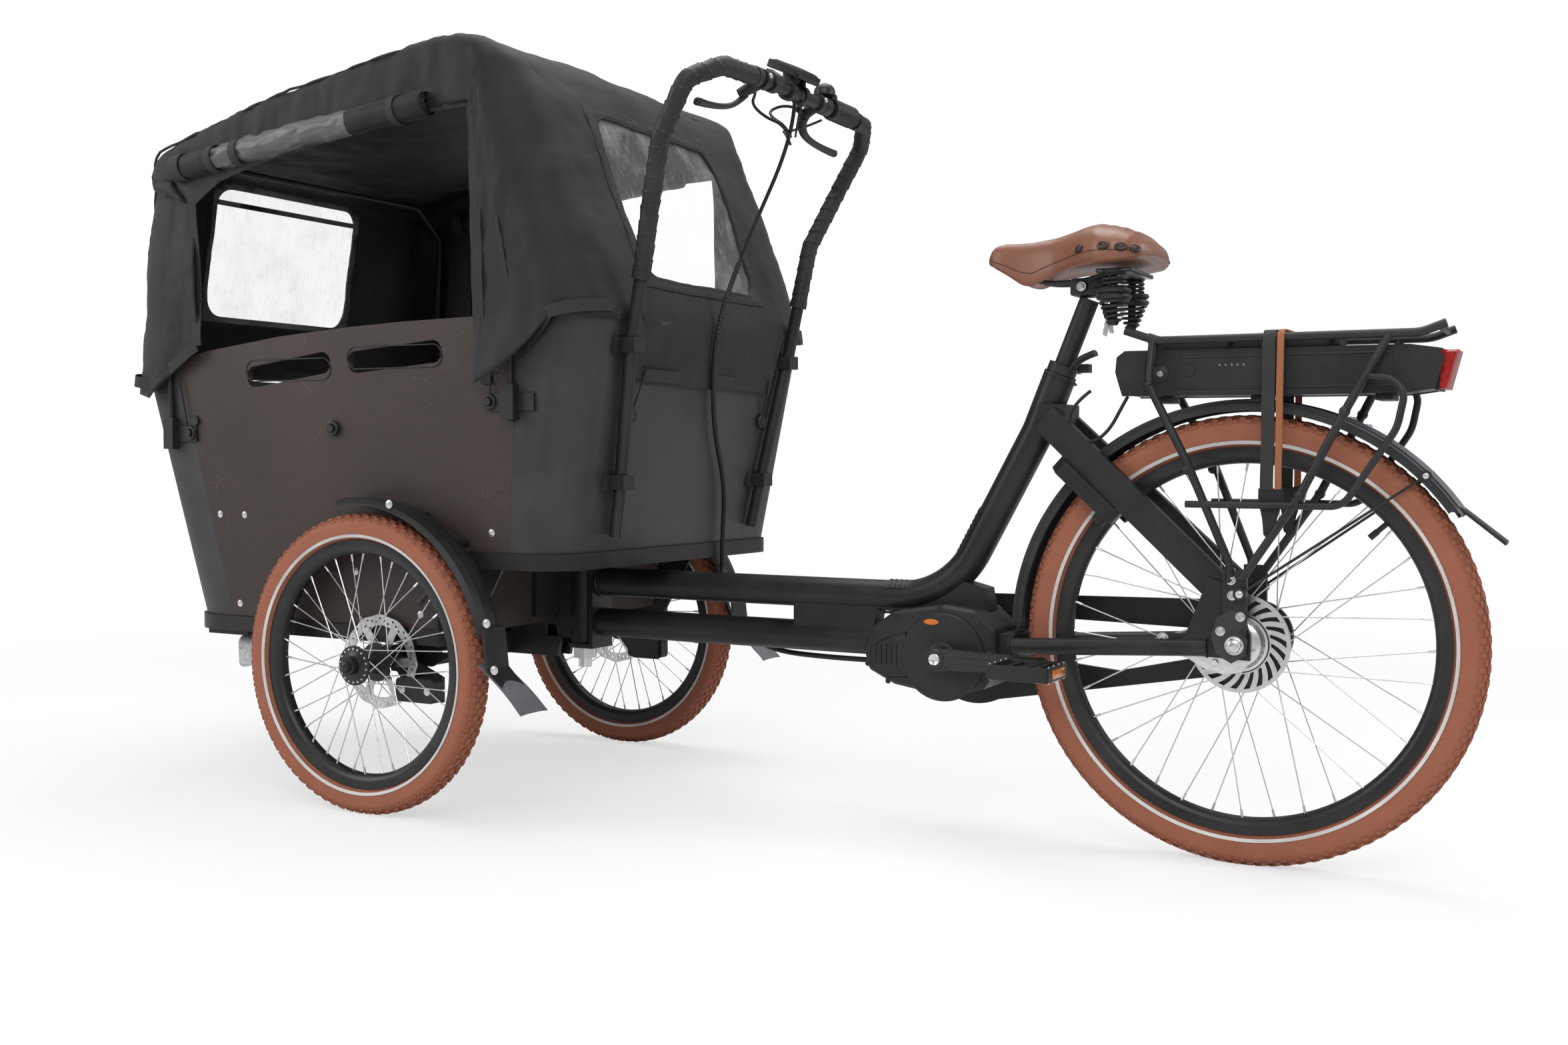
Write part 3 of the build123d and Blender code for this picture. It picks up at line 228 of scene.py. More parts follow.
def moulded(name, colour, rough, grain=1400.0, relief=0.2):
    """Moulded plastic with a fine spark-eroded grain."""
    look = Finish(name)
    cell = look.node("ShaderNodeTexVoronoi", Vector=look.place(), Scale=grain)
    drift = look.noise(14.0, 4.0)
    pale = tuple(c * 1.7 + 0.012 for c in colour)
    look.set(Base_Color=look.blend(drift.ramp(0.4, 0.8) * 0.55, colour, pale),
             Roughness=(drift * 0.25 + rough - 0.12).clamped(),
             Normal=look.relief(cell, relief, 0.0003))
    look.set(Specular_IOR_Level=0.28)
    return look.material


def bare_steel(name, colour, rough, brushed=(40.0, 40.0, 900.0)):
    """Bare metal with drawn lines and small stains."""
    look = Finish(name)
    line = look.noise(1.0, 3.0, source=look.stretched(brushed))
    stain = look.noise(60.0, 5.0, 0.7).ramp(0.5, 0.8)
    dark = tuple(c * 0.55 for c in colour)
    look.set(Base_Color=look.blend(stain * 0.6, colour, dark), Metallic=1.0,
             Roughness=(line * 0.2 + stain * 0.2 + rough - 0.08).clamped(),
             Normal=look.relief(line, 0.06, 0.0003))
    return look.material


def box_ply():
    """Film-faced ply: dark brown film with a pressed grain, cloudy wear and fine scratches."""
    look = Finish("box_ply")
    grain = look.noise(1.0, 5.0, 0.65, source=look.stretched((7.0, 60.0, 130.0)))
    cloud = look.noise(5.0, 5.0, 0.6)
    scratch = look.node("ShaderNodeTexVoronoi", {"feature": "DISTANCE_TO_EDGE"}, Scale=7.0,
                        Vector=look.stretched((1.0, 0.2, 2.6), (0.3, 0.9, 0.2)))
    line = scratch.below(0.0035) * look.noise(16.0, 3.0).ramp(0.56, 0.64)
    speck = look.noise(210.0, 2.0).ramp(0.76, 0.80) * look.noise(12.0).ramp(0.5, 0.62)
    brown = look.blend(cloud.ramp(0.35, 0.7) * 0.7 + grain.ramp(0.4, 0.7) * 0.3, (0.029, 0.0205, 0.0180),
                       (0.043, 0.030, 0.0265))
    worn = look.blend(line * 0.5 + speck * 0.5, brown, (0.13, 0.10, 0.085))
    look.set(Base_Color=worn, Roughness=(cloud * 0.2 + grain * 0.12 + 0.32).clamped(),
             Normal=look.relief(grain + line * 0.6, 0.12, 0.0004))
    look.set(Specular_IOR_Level=0.30)
    return look.material


def tyre_rubber():
    look = Finish("tyre_rubber")
    cloud = look.noise(24.0, 4.0)
    dirt = look.noise(130.0, 4.0, 0.7).ramp(0.5, 0.75)
    look.set(Base_Color=look.blend(dirt * 0.5,
                                   look.blend(cloud, (0.235, 0.078, 0.043), (0.30, 0.108, 0.064)),
                                   (0.19, 0.070, 0.042)),
             Roughness=(cloud * 0.2 + 0.62).clamped(), Normal=look.relief(look.noise(700.0), 0.2, 0.0005))
    look.set(Specular_IOR_Level=0.30)
    return look.material


def saddle_leather():
    look = Finish("saddle_leather")
    pore = look.node("ShaderNodeTexVoronoi", Vector=look.place(), Scale=900.0)
    crease = look.noise(70.0, 5.0)
    cloud = look.noise(20.0, 4.0)
    look.set(Base_Color=look.blend(cloud, (0.155, 0.056, 0.030), (0.21, 0.082, 0.044)),
             Roughness=(cloud * 0.16 + crease * 0.1 + 0.26).clamped(),
             Normal=look.relief(pore * 0.6 + crease * 0.6, 0.22, 0.0006))
    return look.material


def canvas_cloth():
    """Coated polyester: a fine plain weave, dusty patches and a dull sheen."""
    look = Finish("canvas_cloth")
    warp = look.node("ShaderNodeTexWave", {"bands_direction": "DIAGONAL"}, Vector=look.place(), Scale=420.0)
    weft = look.node("ShaderNodeTexWave", {"bands_direction": "Z"}, Vector=look.place(), Scale=420.0)
    dust = look.noise(7.0, 6.0, 0.7)
    fleck = look.noise(420.0, 2.0)
    look.set(Base_Color=look.blend(dust.ramp(0.38, 0.75) * 0.6 + fleck * 0.25, (0.0085, 0.0085, 0.0100),
                                   (0.021, 0.021, 0.0235)),
             Roughness=(dust * 0.2 + 0.52).clamped(),
             Normal=look.relief(warp * 0.5 + weft * 0.5, 0.16, 0.0004))
    look.set(Sheen_Weight=0.05, Sheen_Roughness=0.45, Specular_IOR_Level=0.22)
    return look.material


def clear_film(name, body, tone=0.86, scuffed=0.10):
    """Soft clear vinyl: wavy, slightly milky and scuffed."""
    look = Finish(name)
    wave = look.noise(11.0, 3.0, 0.6)
    scuff = look.noise(1.0, 5.0, 0.7, source=look.stretched((30.0, 160.0, 40.0),
                                                            (0.4, 0.2, 0.7))).ramp(0.55, 0.72)
    look.set(Base_Color=(tone, tone * 1.01, tone * 1.02, 1.0), Roughness=(scuff * 0.4 + 0.06).clamped(),
             Alpha=(scuff * scuffed + wave.ramp(0.45, 0.8) * 0.10 + body).clamped(),
             Normal=look.relief(wave + look.noise(60.0, 3.0) * 0.25, 0.5, 0.012))
    look.set(IOR=1.45)
    return look.material


def lamp_lens(name, colour, rough=0.08):
    look = Finish(name)
    facet = look.node("ShaderNodeTexVoronoi", Vector=look.place(), Scale=160.0)
    look.set(Base_Color=look.blend(facet, colour, tuple(c * 0.55 for c in colour)),
             Roughness=facet * 0.1 + rough,
             Normal=look.relief(facet, 0.5, 0.001))
    return look.material


def webbing(name, colour, pale):
    look = Finish(name)
    rib = look.node("ShaderNodeTexWave", {"bands_direction": "Z"}, Vector=look.place(), Scale=330.0)
    look.set(Base_Color=look.blend(rib * 0.6, colour, pale), Roughness=rib * 0.1 + 0.7,
             Normal=look.relief(rib, 0.5, 0.0006))
    return look.material


paint = {
    "frame_paint": metal_paint("frame_paint", (0.0095, 0.0097, 0.0105), 0.42),
    "black_steel": metal_paint("black_steel", (0.012, 0.012, 0.0125), 0.46),
    # black_sheet's black is set lighter than the sheet's own paint: a painted sheen highlight for the box's
    # end panels. The brake's hook plate uses the same lighter black.
    "black_sheet": metal_paint("black_sheet", (0.023, 0.023, 0.0245), 0.47, 500.0, 0.12),
    "black_rim": metal_paint("black_rim", (0.011, 0.011, 0.012), 0.40),
    "crank_alloy": metal_paint("crank_alloy", (0.014, 0.014, 0.015), 0.36),
    "steel": bare_steel("steel", (0.62, 0.62, 0.63), 0.32),
    "rotor_steel": bare_steel("rotor_steel", (0.55, 0.55, 0.56), 0.30, (300.0, 300.0, 300.0)),
    "tyre_rubber": tyre_rubber(),
    "motor_black": moulded("motor_black", (0.0135, 0.0135, 0.0145), 0.46),
    "black_plastic": moulded("black_plastic", (0.0125, 0.0125, 0.013), 0.44),
    "belt_black": moulded("belt_black", (0.010, 0.010, 0.0105), 0.40),
    "cable_black": moulded("cable_black", (0.008, 0.008, 0.008), 0.42),
    "fender_black": moulded("fender_black", (0.019, 0.020, 0.022), 0.52),
    "flap_grey": moulded("flap_grey", (0.105, 0.110, 0.120), 0.56),
    "leather": saddle_leather(),
    "ply": box_ply(),
    "floor_ply": moulded("floor_ply", (0.030, 0.022, 0.018), 0.55, 200.0),
    "canvas": canvas_cloth(),
    "canvas_trim": webbing("canvas_trim", (0.007, 0.007, 0.0075), (0.016, 0.016, 0.017)),
    "thread": moulded("thread", (0.016, 0.016, 0.017), 0.6),
    "film_rolled": clear_film("film_rolled", 0.16, 0.30, 0.25),
    "film": clear_film("clear_film", 0.05),
    "tape": moulded("tape", (0.016, 0.015, 0.0145), 0.50, 700.0, 0.5),
    "strap": webbing("strap", (0.012, 0.011, 0.011), (0.03, 0.028, 0.027)),
    "strap_orange": webbing("strap_orange", (0.25, 0.082, 0.028), (0.34, 0.125, 0.050)),
    "lamp_red": lamp_lens("lamp_red", (0.42, 0.012, 0.012)),
    "lamp_clear": lamp_lens("lamp_clear", (0.62, 0.64, 0.66)),
    "amber": lamp_lens("amber", (0.75, 0.22, 0.03)),
    "white_line": moulded("white_line", (0.47, 0.46, 0.45), 0.35),
    "badge_orange": moulded("badge_orange", (0.50, 0.13, 0.02), 0.4),
    "cast_alloy": bare_steel("cast_alloy", (0.66, 0.66, 0.67), 0.42, (160.0, 160.0, 160.0)),
    "screen": lamp_lens("screen", (0.030, 0.034, 0.040), 0.05),
    "grey_plastic": moulded("grey_plastic", (0.16, 0.165, 0.17), 0.45),
    "leather_dark": moulded("leather_dark", (0.030, 0.016, 0.011), 0.42),
}
CAD_FINISH = {part["node"]: part["material_slot"] for part in frame["record"]["subparts"]}
for name, node in nodes.items():
    node.data.materials.clear()
    node.data.materials.append(paint[CAD_FINISH[name]])


# Making meshes
def object_of(name, mesh):
    made = bpy.data.objects.new(name, mesh)
    scene.collection.objects.link(made)
    return made


def settle(made, body, finishes, stands_for=(), smooth=35.0):
    """Give a finished mesh its materials, shading and body."""
    for finish_name in ([finishes] if isinstance(finishes, str) else finishes):
        made.data.materials.append(paint[finish_name])
    made.data.polygons.foreach_set("use_smooth", [True] * len(made.data.polygons))
    if smooth is not None:
        made.data.set_sharp_from_angle(angle=radians(smooth))
    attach(made, body)
    if stands_for:
        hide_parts(*stands_for)
    return made


def cross_frame(along, up=None):
    """Two unit vectors square to a direction."""
    along = along.normalized()
    up = up or (Vector((0, 0, 1)) if abs(along.z) < 0.9 else Vector((1, 0, 0)))
    side = along.cross(up).normalized()
    return side, side.cross(along).normalized()


class Forge:
    """A mesh put together from turned, bent, cut and rounded pieces, in metres."""

    def __init__(self):
        self.bm = bmesh.new()
        self.slot = 0

    def use(self, slot):
        self.slot = slot
        return self

    def loop(self, points):
        return [self.bm.verts.new(p) for p in points]

    def face(self, corners):
        made = self.bm.faces.new(corners)
        made.material_index = self.slot
        return made

    def skin(self, rings, closed=True, cap=True):
        """Join rings of points one after another."""
        loops = [self.loop(ring) for ring in rings]
        count = len(loops[0])
        for a, b in zip(loops, loops[1:]):
            for i in range(count if closed else count - 1):
                j = (i + 1) % count
                self.face((a[i], a[j], b[j], b[i]))
        if cap and closed:
            self.face(list(reversed(loops[0])))
            self.face(loops[-1])
        return loops

    def tube(self, path, radius, sides=12, shape=None):
        """A round bar along points.

        radius may be a function of the distance run, and shape one of the distance and the angle."""
        path = [Vector(p) for p in path]
        rings, run = [], 0.0
        side, lift = cross_frame(path[1] - path[0])
        for i, point in enumerate(path):
            before, after = path[max(i - 1, 0)], path[min(i + 1, len(path) - 1)]
            along = (after - before).normalized()
            side = (side - along * side.dot(along)).normalized()
            lift = side.cross(along)
            run += (point - before).length if i else 0.0
            size = radius(run) if callable(radius) else radius
            ring = []
            for k in range(sides):
                turn = 2 * pi * k / sides
                grow = size + (shape(run, turn) if shape else 0.0)
                ring.append(point + side * (cos(turn) * grow) + lift * (sin(turn) * grow))
            rings.append(ring)
        self.skin(rings)
        return self

    def turned(self, profile, centre, steps=64, axis="Y", start=0.0, end=2 * pi):
        """A profile of (distance along the axis, radius) turned about an axis through centre."""
        whole = abs(end - start - 2 * pi) < 1e-6
        centre = Vector(centre)
        rings = []
        for k in range(steps if whole else steps + 1):
            turn = start + (end - start) * k / steps
            ring = []
            for along, r in profile:
                spread = (r * cos(turn), r * sin(turn))
                ring.append(centre + (Vector((spread[0], along, spread[1])) if axis == "Y"
                                      else Vector((spread[0], spread[1], along))))
            rings.append(self.loop(ring))
        last = len(rings) if whole else len(rings) - 1
        for k in range(last):
            a, b = rings[k], rings[(k + 1) % len(rings)]
            for i in range(len(profile)):
                j = (i + 1) % len(profile)
                self.face((a[i], a[j], b[j], b[i]))
        if not whole:
            self.face(rings[0])
            self.face(list(reversed(rings[-1])))
        return self

    def plate(self, outline, low, high, lift=0.0, place=None):
        """A flat shape with thickness; outline in the plane of place, bevelled by lift at both faces."""
        place = place or Matrix.Identity(4)
        middle = sum((Vector(p) for p in outline), Vector((0, 0))) / len(outline)

        def ring(height, draw_in):
            points = []
            for p in outline:
                p = Vector(p)
                step = middle - p
                p = p + step.normalized() * min(draw_in, step.length * 0.4)
                points.append(place @ Vector((p.x, p.y, height)))
            return points

        if lift:
            self.skin([ring(low, lift), ring(low + lift, 0), ring(high - lift, 0), ring(high, lift)])
        else:
            self.skin([ring(low, 0), ring(high, 0)])
        return self

    def ball(self, centre, radius, squash_y=1.0, steps=10):
        made = bmesh.ops.create_uvsphere(self.bm, u_segments=2 * steps, v_segments=steps, radius=radius)
        for vert in made["verts"]:
            vert.co.y *= squash_y
            vert.co += Vector(centre)
        for face in {f for v in made["verts"] for f in v.link_faces}:
            face.material_index = self.slot
        return self

    def brick(self, low, high, round_by=0.002, place=None):
        """A block with softened edges."""
        made = bmesh.ops.create_cube(self.bm, size=1.0)["verts"]
        low, high = Vector(low), Vector(high)
        for vert in made:
            vert.co = Vector([(low[i] + high[i]) / 2 + vert.co[i] * (high[i] - low[i]) for i in range(3)])
        edges = list({e for v in made for e in v.link_edges})
        new = bmesh.ops.bevel(self.bm, geom=edges, offset=round_by, segments=2, affect="EDGES", profile=0.6)
        verts = {v for f in new["faces"] for v in f.verts} | {v for v in made if v.is_valid}
        if place:
            for vert in verts:
                vert.co = place @ vert.co
        for face in {f for v in verts for f in v.link_faces}:
            face.material_index = self.slot
        return self

    def take(self, mesh, place=None):
        """Add a finished mesh."""
        copy = mesh.copy()
        if place:
            copy.transform(place)
        before = len(self.bm.faces)
        self.bm.from_mesh(copy)
        bpy.data.meshes.remove(copy)
        self.bm.faces.ensure_lookup_table()
        for face in self.bm.faces[before:]:
            face.material_index = self.slot
        return self

    def mesh(self, name, outward=True):
        if outward:
            bmesh.ops.recalc_face_normals(self.bm, faces=self.bm.faces)
        made = bpy.data.meshes.new(name)
        self.bm.to_mesh(made)
        self.bm.free()
        return made

    def piece(self, name, body, finishes, stands_for=(), smooth=35.0):
        return settle(object_of(name, self.mesh(name)), body, finishes, stands_for, smooth)


def circle(radius, count=24, centre=(0.0, 0.0), start=0.0):
    return [(centre[0] + radius * cos(start + 2 * pi * k / count),
             centre[1] + radius * sin(start + 2 * pi * k / count))
            for k in range(count)]


def cut_sheet(name, outline, holes, thickness, place):
    """Flat metal with holes: a filled curve given thickness, then stood in its place."""
    curve = bpy.data.curves.new(name, "CURVE")
    curve.dimensions = "2D"
    curve.fill_mode = "BOTH"
    curve.extrude = thickness / 2
    for line in [outline] + list(holes):
        spline = curve.splines.new("POLY")
        spline.points.add(len(line) - 1)
        for point, (x, y) in zip(spline.points, line):
            point.co = (x, y, 0.0, 1.0)
        spline.use_cyclic_u = True
    holder = object_of(name, curve)
    mesh = bpy.data.meshes.new_from_object(holder.evaluated_get(bpy.context.evaluated_depsgraph_get()))
    bpy.data.objects.remove(holder)
    mesh.transform(place)
    return mesh


def across_y(x, y, z):
    """Stands a flat shape in the X-Z plane at a point, its thickness along Y."""
    return Matrix.Translation((x, y, z)) @ Matrix(((1, 0, 0, 0), (0, 0, -1, 0), (0, 1, 0, 0), (0, 0, 0, 1)))


def joined_bends(points, radius, steps=6):
    """A rigid bar's line: straight runs with bends of one radius, as a tube bender makes them."""
    points = [Vector(p) for p in points]
    line = [points[0]]
    for before, corner, after in zip(points, points[1:], points[2:]):
        a, b = (before - corner), (after - corner)
        half = a.angle(b) / 2
        reach = min(radius / max(1e-6, sin(half) / cos(half)), 0.45 * a.length, 0.45 * b.length)
        start, end = corner + a.normalized() * reach, corner + b.normalized() * reach
        for k in range(steps + 1):
            t = k / steps
            line.append((1 - t) ** 2 * start + 2 * t * (1 - t) * corner + t * t * end)
    return line + [points[-1]]


def even_line(points, step):
    """The same line with points at even steps."""
    points = [Vector(p) for p in points]
    lengths = [0.0]
    for a, b in zip(points, points[1:]):
        lengths.append(lengths[-1] + (b - a).length)
    count = max(2, int(lengths[-1] / step))
    line, k = [], 0
    for i in range(count + 1):
        goal = lengths[-1] * i / count
        while k < len(points) - 2 and lengths[k + 1] < goal:
            k += 1
        part = (goal - lengths[k]) / max(1e-9, lengths[k + 1] - lengths[k])
        line.append(points[k].lerp(points[k + 1], part))
    return line


# Repeats by Geometry Nodes
def node_tree(name, inputs):
    tree = bpy.data.node_groups.new(name, "GeometryNodeTree")
    tree.interface.new_socket("Geometry", in_out="OUTPUT", socket_type="NodeSocketGeometry")
    tree.interface.new_socket("Geometry", in_out="INPUT", socket_type="NodeSocketGeometry")
    for label, kind in inputs:
        tree.interface.new_socket(label, in_out="INPUT", socket_type=kind)
    start = tree.nodes.new("NodeGroupInput")
    end = tree.nodes.new("NodeGroupOutput")
    return tree, start, end


def spread_tree():
    """One shape set on every point, turned and sized by the point's own attributes."""
    tree, start, end = node_tree("spread", (("Shape", "NodeSocketObject"), ("Size", "NodeSocketFloat"),
                                            ("Wobble", "NodeSocketFloat"),
                                            ("Finish", "NodeSocketMaterial")))
    shape = tree.nodes.new("GeometryNodeObjectInfo")
    turn = tree.nodes.new("GeometryNodeInputNamedAttribute")
    turn.data_type = "FLOAT_VECTOR"
    turn.inputs[0].default_value = "turn"
    grow = tree.nodes.new("GeometryNodeInputNamedAttribute")
    grow.data_type = "FLOAT"
    grow.inputs[0].default_value = "grow"
    chance = tree.nodes.new("FunctionNodeRandomValue")
    chance.data_type = "FLOAT"
    chance.inputs["Seed"].default_value = 7
    chance.inputs[2].default_value = -1.0
    chance.inputs[3].default_value = 1.0
    sway = tree.nodes.new("ShaderNodeMath")
    sway.operation = "MULTIPLY_ADD"
    sway.inputs[2].default_value = 1.0
    scale = tree.nodes.new("ShaderNodeMath")
    scale.operation = "MULTIPLY"
    both = tree.nodes.new("ShaderNodeMath")
    both.operation = "MULTIPLY"
    place = tree.nodes.new("GeometryNodeInstanceOnPoints")
    real = tree.nodes.new("GeometryNodeRealizeInstances")
    finish = tree.nodes.new("GeometryNodeSetMaterial")
    link = tree.links.new
    link(start.outputs["Geometry"], place.inputs["Points"])
    link(start.outputs["Shape"], shape.inputs[0])
    link(shape.outputs["Geometry"], place.inputs["Instance"])
    link(turn.outputs["Attribute"], place.inputs["Rotation"])
    link(chance.outputs[1], sway.inputs[0])
    link(start.outputs["Wobble"], sway.inputs[1])
    link(grow.outputs["Attribute"], scale.inputs[0])
    link(start.outputs["Size"], scale.inputs[1])
    link(scale.outputs[0], both.inputs[0])
    link(sway.outputs[0], both.inputs[1])
    link(both.outputs[0], place.inputs["Scale"])
    link(place.outputs[0], real.inputs[0])
    link(real.outputs[0], finish.inputs["Geometry"])
    link(start.outputs["Finish"], finish.inputs["Material"])
    link(finish.outputs[0], end.inputs[0])
    return tree


def ring_tree():
    """One shape repeated round the Y axis, each copy turned with its place."""
    tree, start, end = node_tree("ring", (("Shape", "NodeSocketObject"), ("Count", "NodeSocketInt"),
                                          ("Phase", "NodeSocketFloat"), ("Finish", "NodeSocketMaterial")))
    line = tree.nodes.new("GeometryNodeMeshLine")
    line.inputs["Offset"].default_value = (0.0, 0.0, 0.0)
    shape = tree.nodes.new("GeometryNodeObjectInfo")
    index = tree.nodes.new("GeometryNodeInputIndex")
    step = tree.nodes.new("ShaderNodeMath")
    step.operation = "DIVIDE"
    step.inputs[0].default_value = 2 * pi
    angle = tree.nodes.new("ShaderNodeMath")
    angle.operation = "MULTIPLY_ADD"
    vector = tree.nodes.new("ShaderNodeCombineXYZ")
    place = tree.nodes.new("GeometryNodeInstanceOnPoints")
    real = tree.nodes.new("GeometryNodeRealizeInstances")
    finish = tree.nodes.new("GeometryNodeSetMaterial")
    link = tree.links.new
    link(start.outputs["Count"], line.inputs["Count"])
    link(start.outputs["Shape"], shape.inputs[0])
    link(start.outputs["Count"], step.inputs[1])
    link(index.outputs[0], angle.inputs[0])
    link(step.outputs[0], angle.inputs[1])
    link(start.outputs["Phase"], angle.inputs[2])
    link(angle.outputs[0], vector.inputs["Y"])
    link(line.outputs[0], place.inputs["Points"])
    link(shape.outputs["Geometry"], place.inputs["Instance"])
    link(vector.outputs[0], place.inputs["Rotation"])
    link(place.outputs[0], real.inputs[0])
    link(real.outputs[0], finish.inputs["Geometry"])
    link(start.outputs["Finish"], finish.inputs["Material"])
    link(finish.outputs[0], end.inputs[0])
    return tree


SPREAD = spread_tree()
RING = ring_tree()


def grown(name, host_mesh, tree, values):
    """Run a tree on a host mesh and keep the plain mesh."""
    host = object_of(name, host_mesh)
    modifier = host.modifiers.new("nodes", "NODES")
    modifier.node_group = tree
    for item in tree.interface.items_tree:
        if item.in_out == "INPUT" and item.name in values:
            modifier[item.identifier] = values[item.name]
    bpy.context.view_layer.update()
    mesh = bpy.data.meshes.new_from_object(host.evaluated_get(bpy.context.evaluated_depsgraph_get()))
    bpy.data.objects.remove(host)
    return mesh


def spread(name, shape, places, finish_name, size=1.0, wobble=0.0):
    """places are (point, direction of the shape's Z axis, scale)."""
    points = bpy.data.meshes.new(name + "_points")
    points.from_pydata([tuple(p[0]) for p in places], [], [])
    points.attributes.new("turn", "FLOAT_VECTOR", "POINT")
    points.attributes.new("grow", "FLOAT", "POINT")
    turn, grow = points.attributes["turn"], points.attributes["grow"]
    for i, place in enumerate(places):
        turn.data[i].vector = tuple(Vector(place[1]).to_track_quat("Z", "Y").to_euler())
        grow.data[i].value = place[2] if len(place) > 2 else 1.0
    holder = object_of(name + "_shape", shape)
    mesh = grown(name, points, SPREAD, {"Shape": holder, "Size": size, "Wobble": wobble,
                                        "Finish": paint[finish_name]})
    bpy.data.objects.remove(holder)
    return mesh


def around(name, shape, count, centre, finish_name, phase=0.0):
    """A shape made about the origin's Y axis, repeated round it and moved to centre."""
    holder = object_of(name + "_shape", shape)
    mesh = grown(name, bpy.data.meshes.new(name + "_points"), RING,
                 {"Shape": holder, "Count": count, "Phase": phase, "Finish": paint[finish_name]})
    bpy.data.objects.remove(holder)
    mesh.transform(Matrix.Translation(centre))
    return mesh


def screw_head(radius=0.0045, height=0.0022):
    """A pan head with a hexagon socket, its Z axis out of the panel."""
    work = Forge()
    work.turned([(0.0, 0.0005), (0.0, radius * 1.35), (0.0006, radius * 1.35), (0.0008, radius),
                 (height * 0.7, radius * 0.96), (height, radius * 0.72), (height, radius * 0.42),
                 (height * 0.45, radius * 0.40), (height * 0.45, 0.0002)], (0, 0, 0), 12, axis="Z")
    return work.mesh("screw_head")


def screws(name, body, places, size=1.0, finish_name="steel"):
    mesh = spread(name, screw_head(), places, finish_name, size)
    made = object_of(name, mesh)
    mesh.polygons.foreach_set("use_smooth", [True] * len(mesh.polygons))
    mesh.set_sharp_from_angle(angle=radians(40))
    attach(made, body)
    return made


def band(line, out, half_width, thickness):
    """A flat strap along a line: out is the direction of its face at each point."""
    rings = []
    for i, point in enumerate(line):
        along = (line[min(i + 1, len(line) - 1)] - line[max(i - 1, 0)]).normalized()
        face = out[i] if isinstance(out, list) else out
        side = along.cross(face).normalized() * half_width
        lift = face.normalized() * thickness
        rings.append([point - side, point + side, point + side + lift, point - side + lift])
    return rings
# Cords: the wrapped loom down the back of the box, and its second length to the motor
LOOM_D = 0.009
LOOM_FRONT = [at(*p) for p in (
    (743, 25, 1187.8), (748, 22, 1130), (868, -45, 985), (900, -20, 880), (908, 4, 800), (922, -11, 729),
    (936, -40, 640), (952, -105, 545), (972, -128, 445), (972, -128, 404))]
LOOM_REAR = [at(*p) for p in (
    (972, -128, 403.8), (972, -128, 365), (915, -66, 300), (820, -24, 265), (700, 0, 261), (598.2, 0, 262))]


def nurbs_line(name, points, bevel):
    curve = bpy.data.curves.new(name, "CURVE")
    curve.dimensions = "3D"
    spline = curve.splines.new("NURBS")
    spline.points.add(len(points) - 1)
    for point, place in zip(spline.points, points):
        point.co = (*place, 1.0)
    spline.order_u = 3
    spline.use_endpoint_u = True
    spline.resolution_u = 10
    curve.bevel_depth = bevel
    curve.bevel_resolution = 4
    curve.use_fill_caps = True
    return curve


def read_line(points):
    """The points that a NURBS route runs through, as Blender gives them."""
    holder = object_of("route", nurbs_line("route", points, 0.0))
    mesh = bpy.data.meshes.new_from_object(holder.evaluated_get(bpy.context.evaluated_depsgraph_get()))
    line = [v.co.copy() for v in mesh.vertices]
    bpy.data.objects.remove(holder)
    bpy.data.meshes.remove(mesh)
    return line


def line_length(line):
    return sum((b - a).length for a, b in zip(line, line[1:]))


def loom(name, points, body, stands_for, wrapped):
    """A loom of cables; where it is wrapped, a spiral sleeve stands a little proud of it."""
    line = read_line(points)
    length = line_length(line)
    pitch = 0.0072

    def sleeve(run, turn):
        if not wrapped or run < 0.30:
            return -0.0012 if wrapped else 0.0
        return 0.0009 * (0.5 + 0.5 * cos(turn - 2 * pi * run / pitch)) ** 0.6 - 0.0004

    work = Forge()
    work.tube(even_line(line, 0.0016 if wrapped else 0.004), LOOM_D / 2, 14 if wrapped else 12, sleeve)
    made = work.piece(name, body, "cable_black", stands_for, 60.0)
    return made


loom("cable_front_loom", LOOM_FRONT, "front_carriage", ["cable_front"], True)
loom("cable_rear_loom", LOOM_REAR, "rear_frame", ["cable_rear"], False)


# Wheels
def tyre_profile(radius, rim_r):
    """Half-round tyre between its beads, as (side, radius)."""
    half = 0.025
    mid = (radius + rim_r) / 2 + 0.004
    outer = []
    for k in range(19):
        turn = pi * k / 18
        swell = 1.0 if 0.25 < turn / pi < 0.75 else 0.985
        outer.append((-half * cos(turn) * swell, mid + (radius - mid) * sin(turn) ** 0.92))
    bead = [(0.0215, rim_r + 0.006), (0.0135, rim_r + 0.0010), (0.0118, rim_r - 0.005),
            (-0.0118, rim_r - 0.005), (-0.0135, rim_r + 0.0010), (-0.0215, rim_r + 0.006)]
    return outer + bead


def knob(width, length, height):
    """A tread block lying on the tyre, its height along +X."""
    work = Forge()
    low = [(-width / 2, -length / 2), (width / 2, -length / 2), (width / 2, length / 2),
           (-width / 2, length / 2)]
    work.skin([[Vector((h, y * k, z * k)) for y, z in low] for h,
               k in ((-0.0015, 1.0), (height * 0.7, 0.94), (height, 0.74))])
    return work


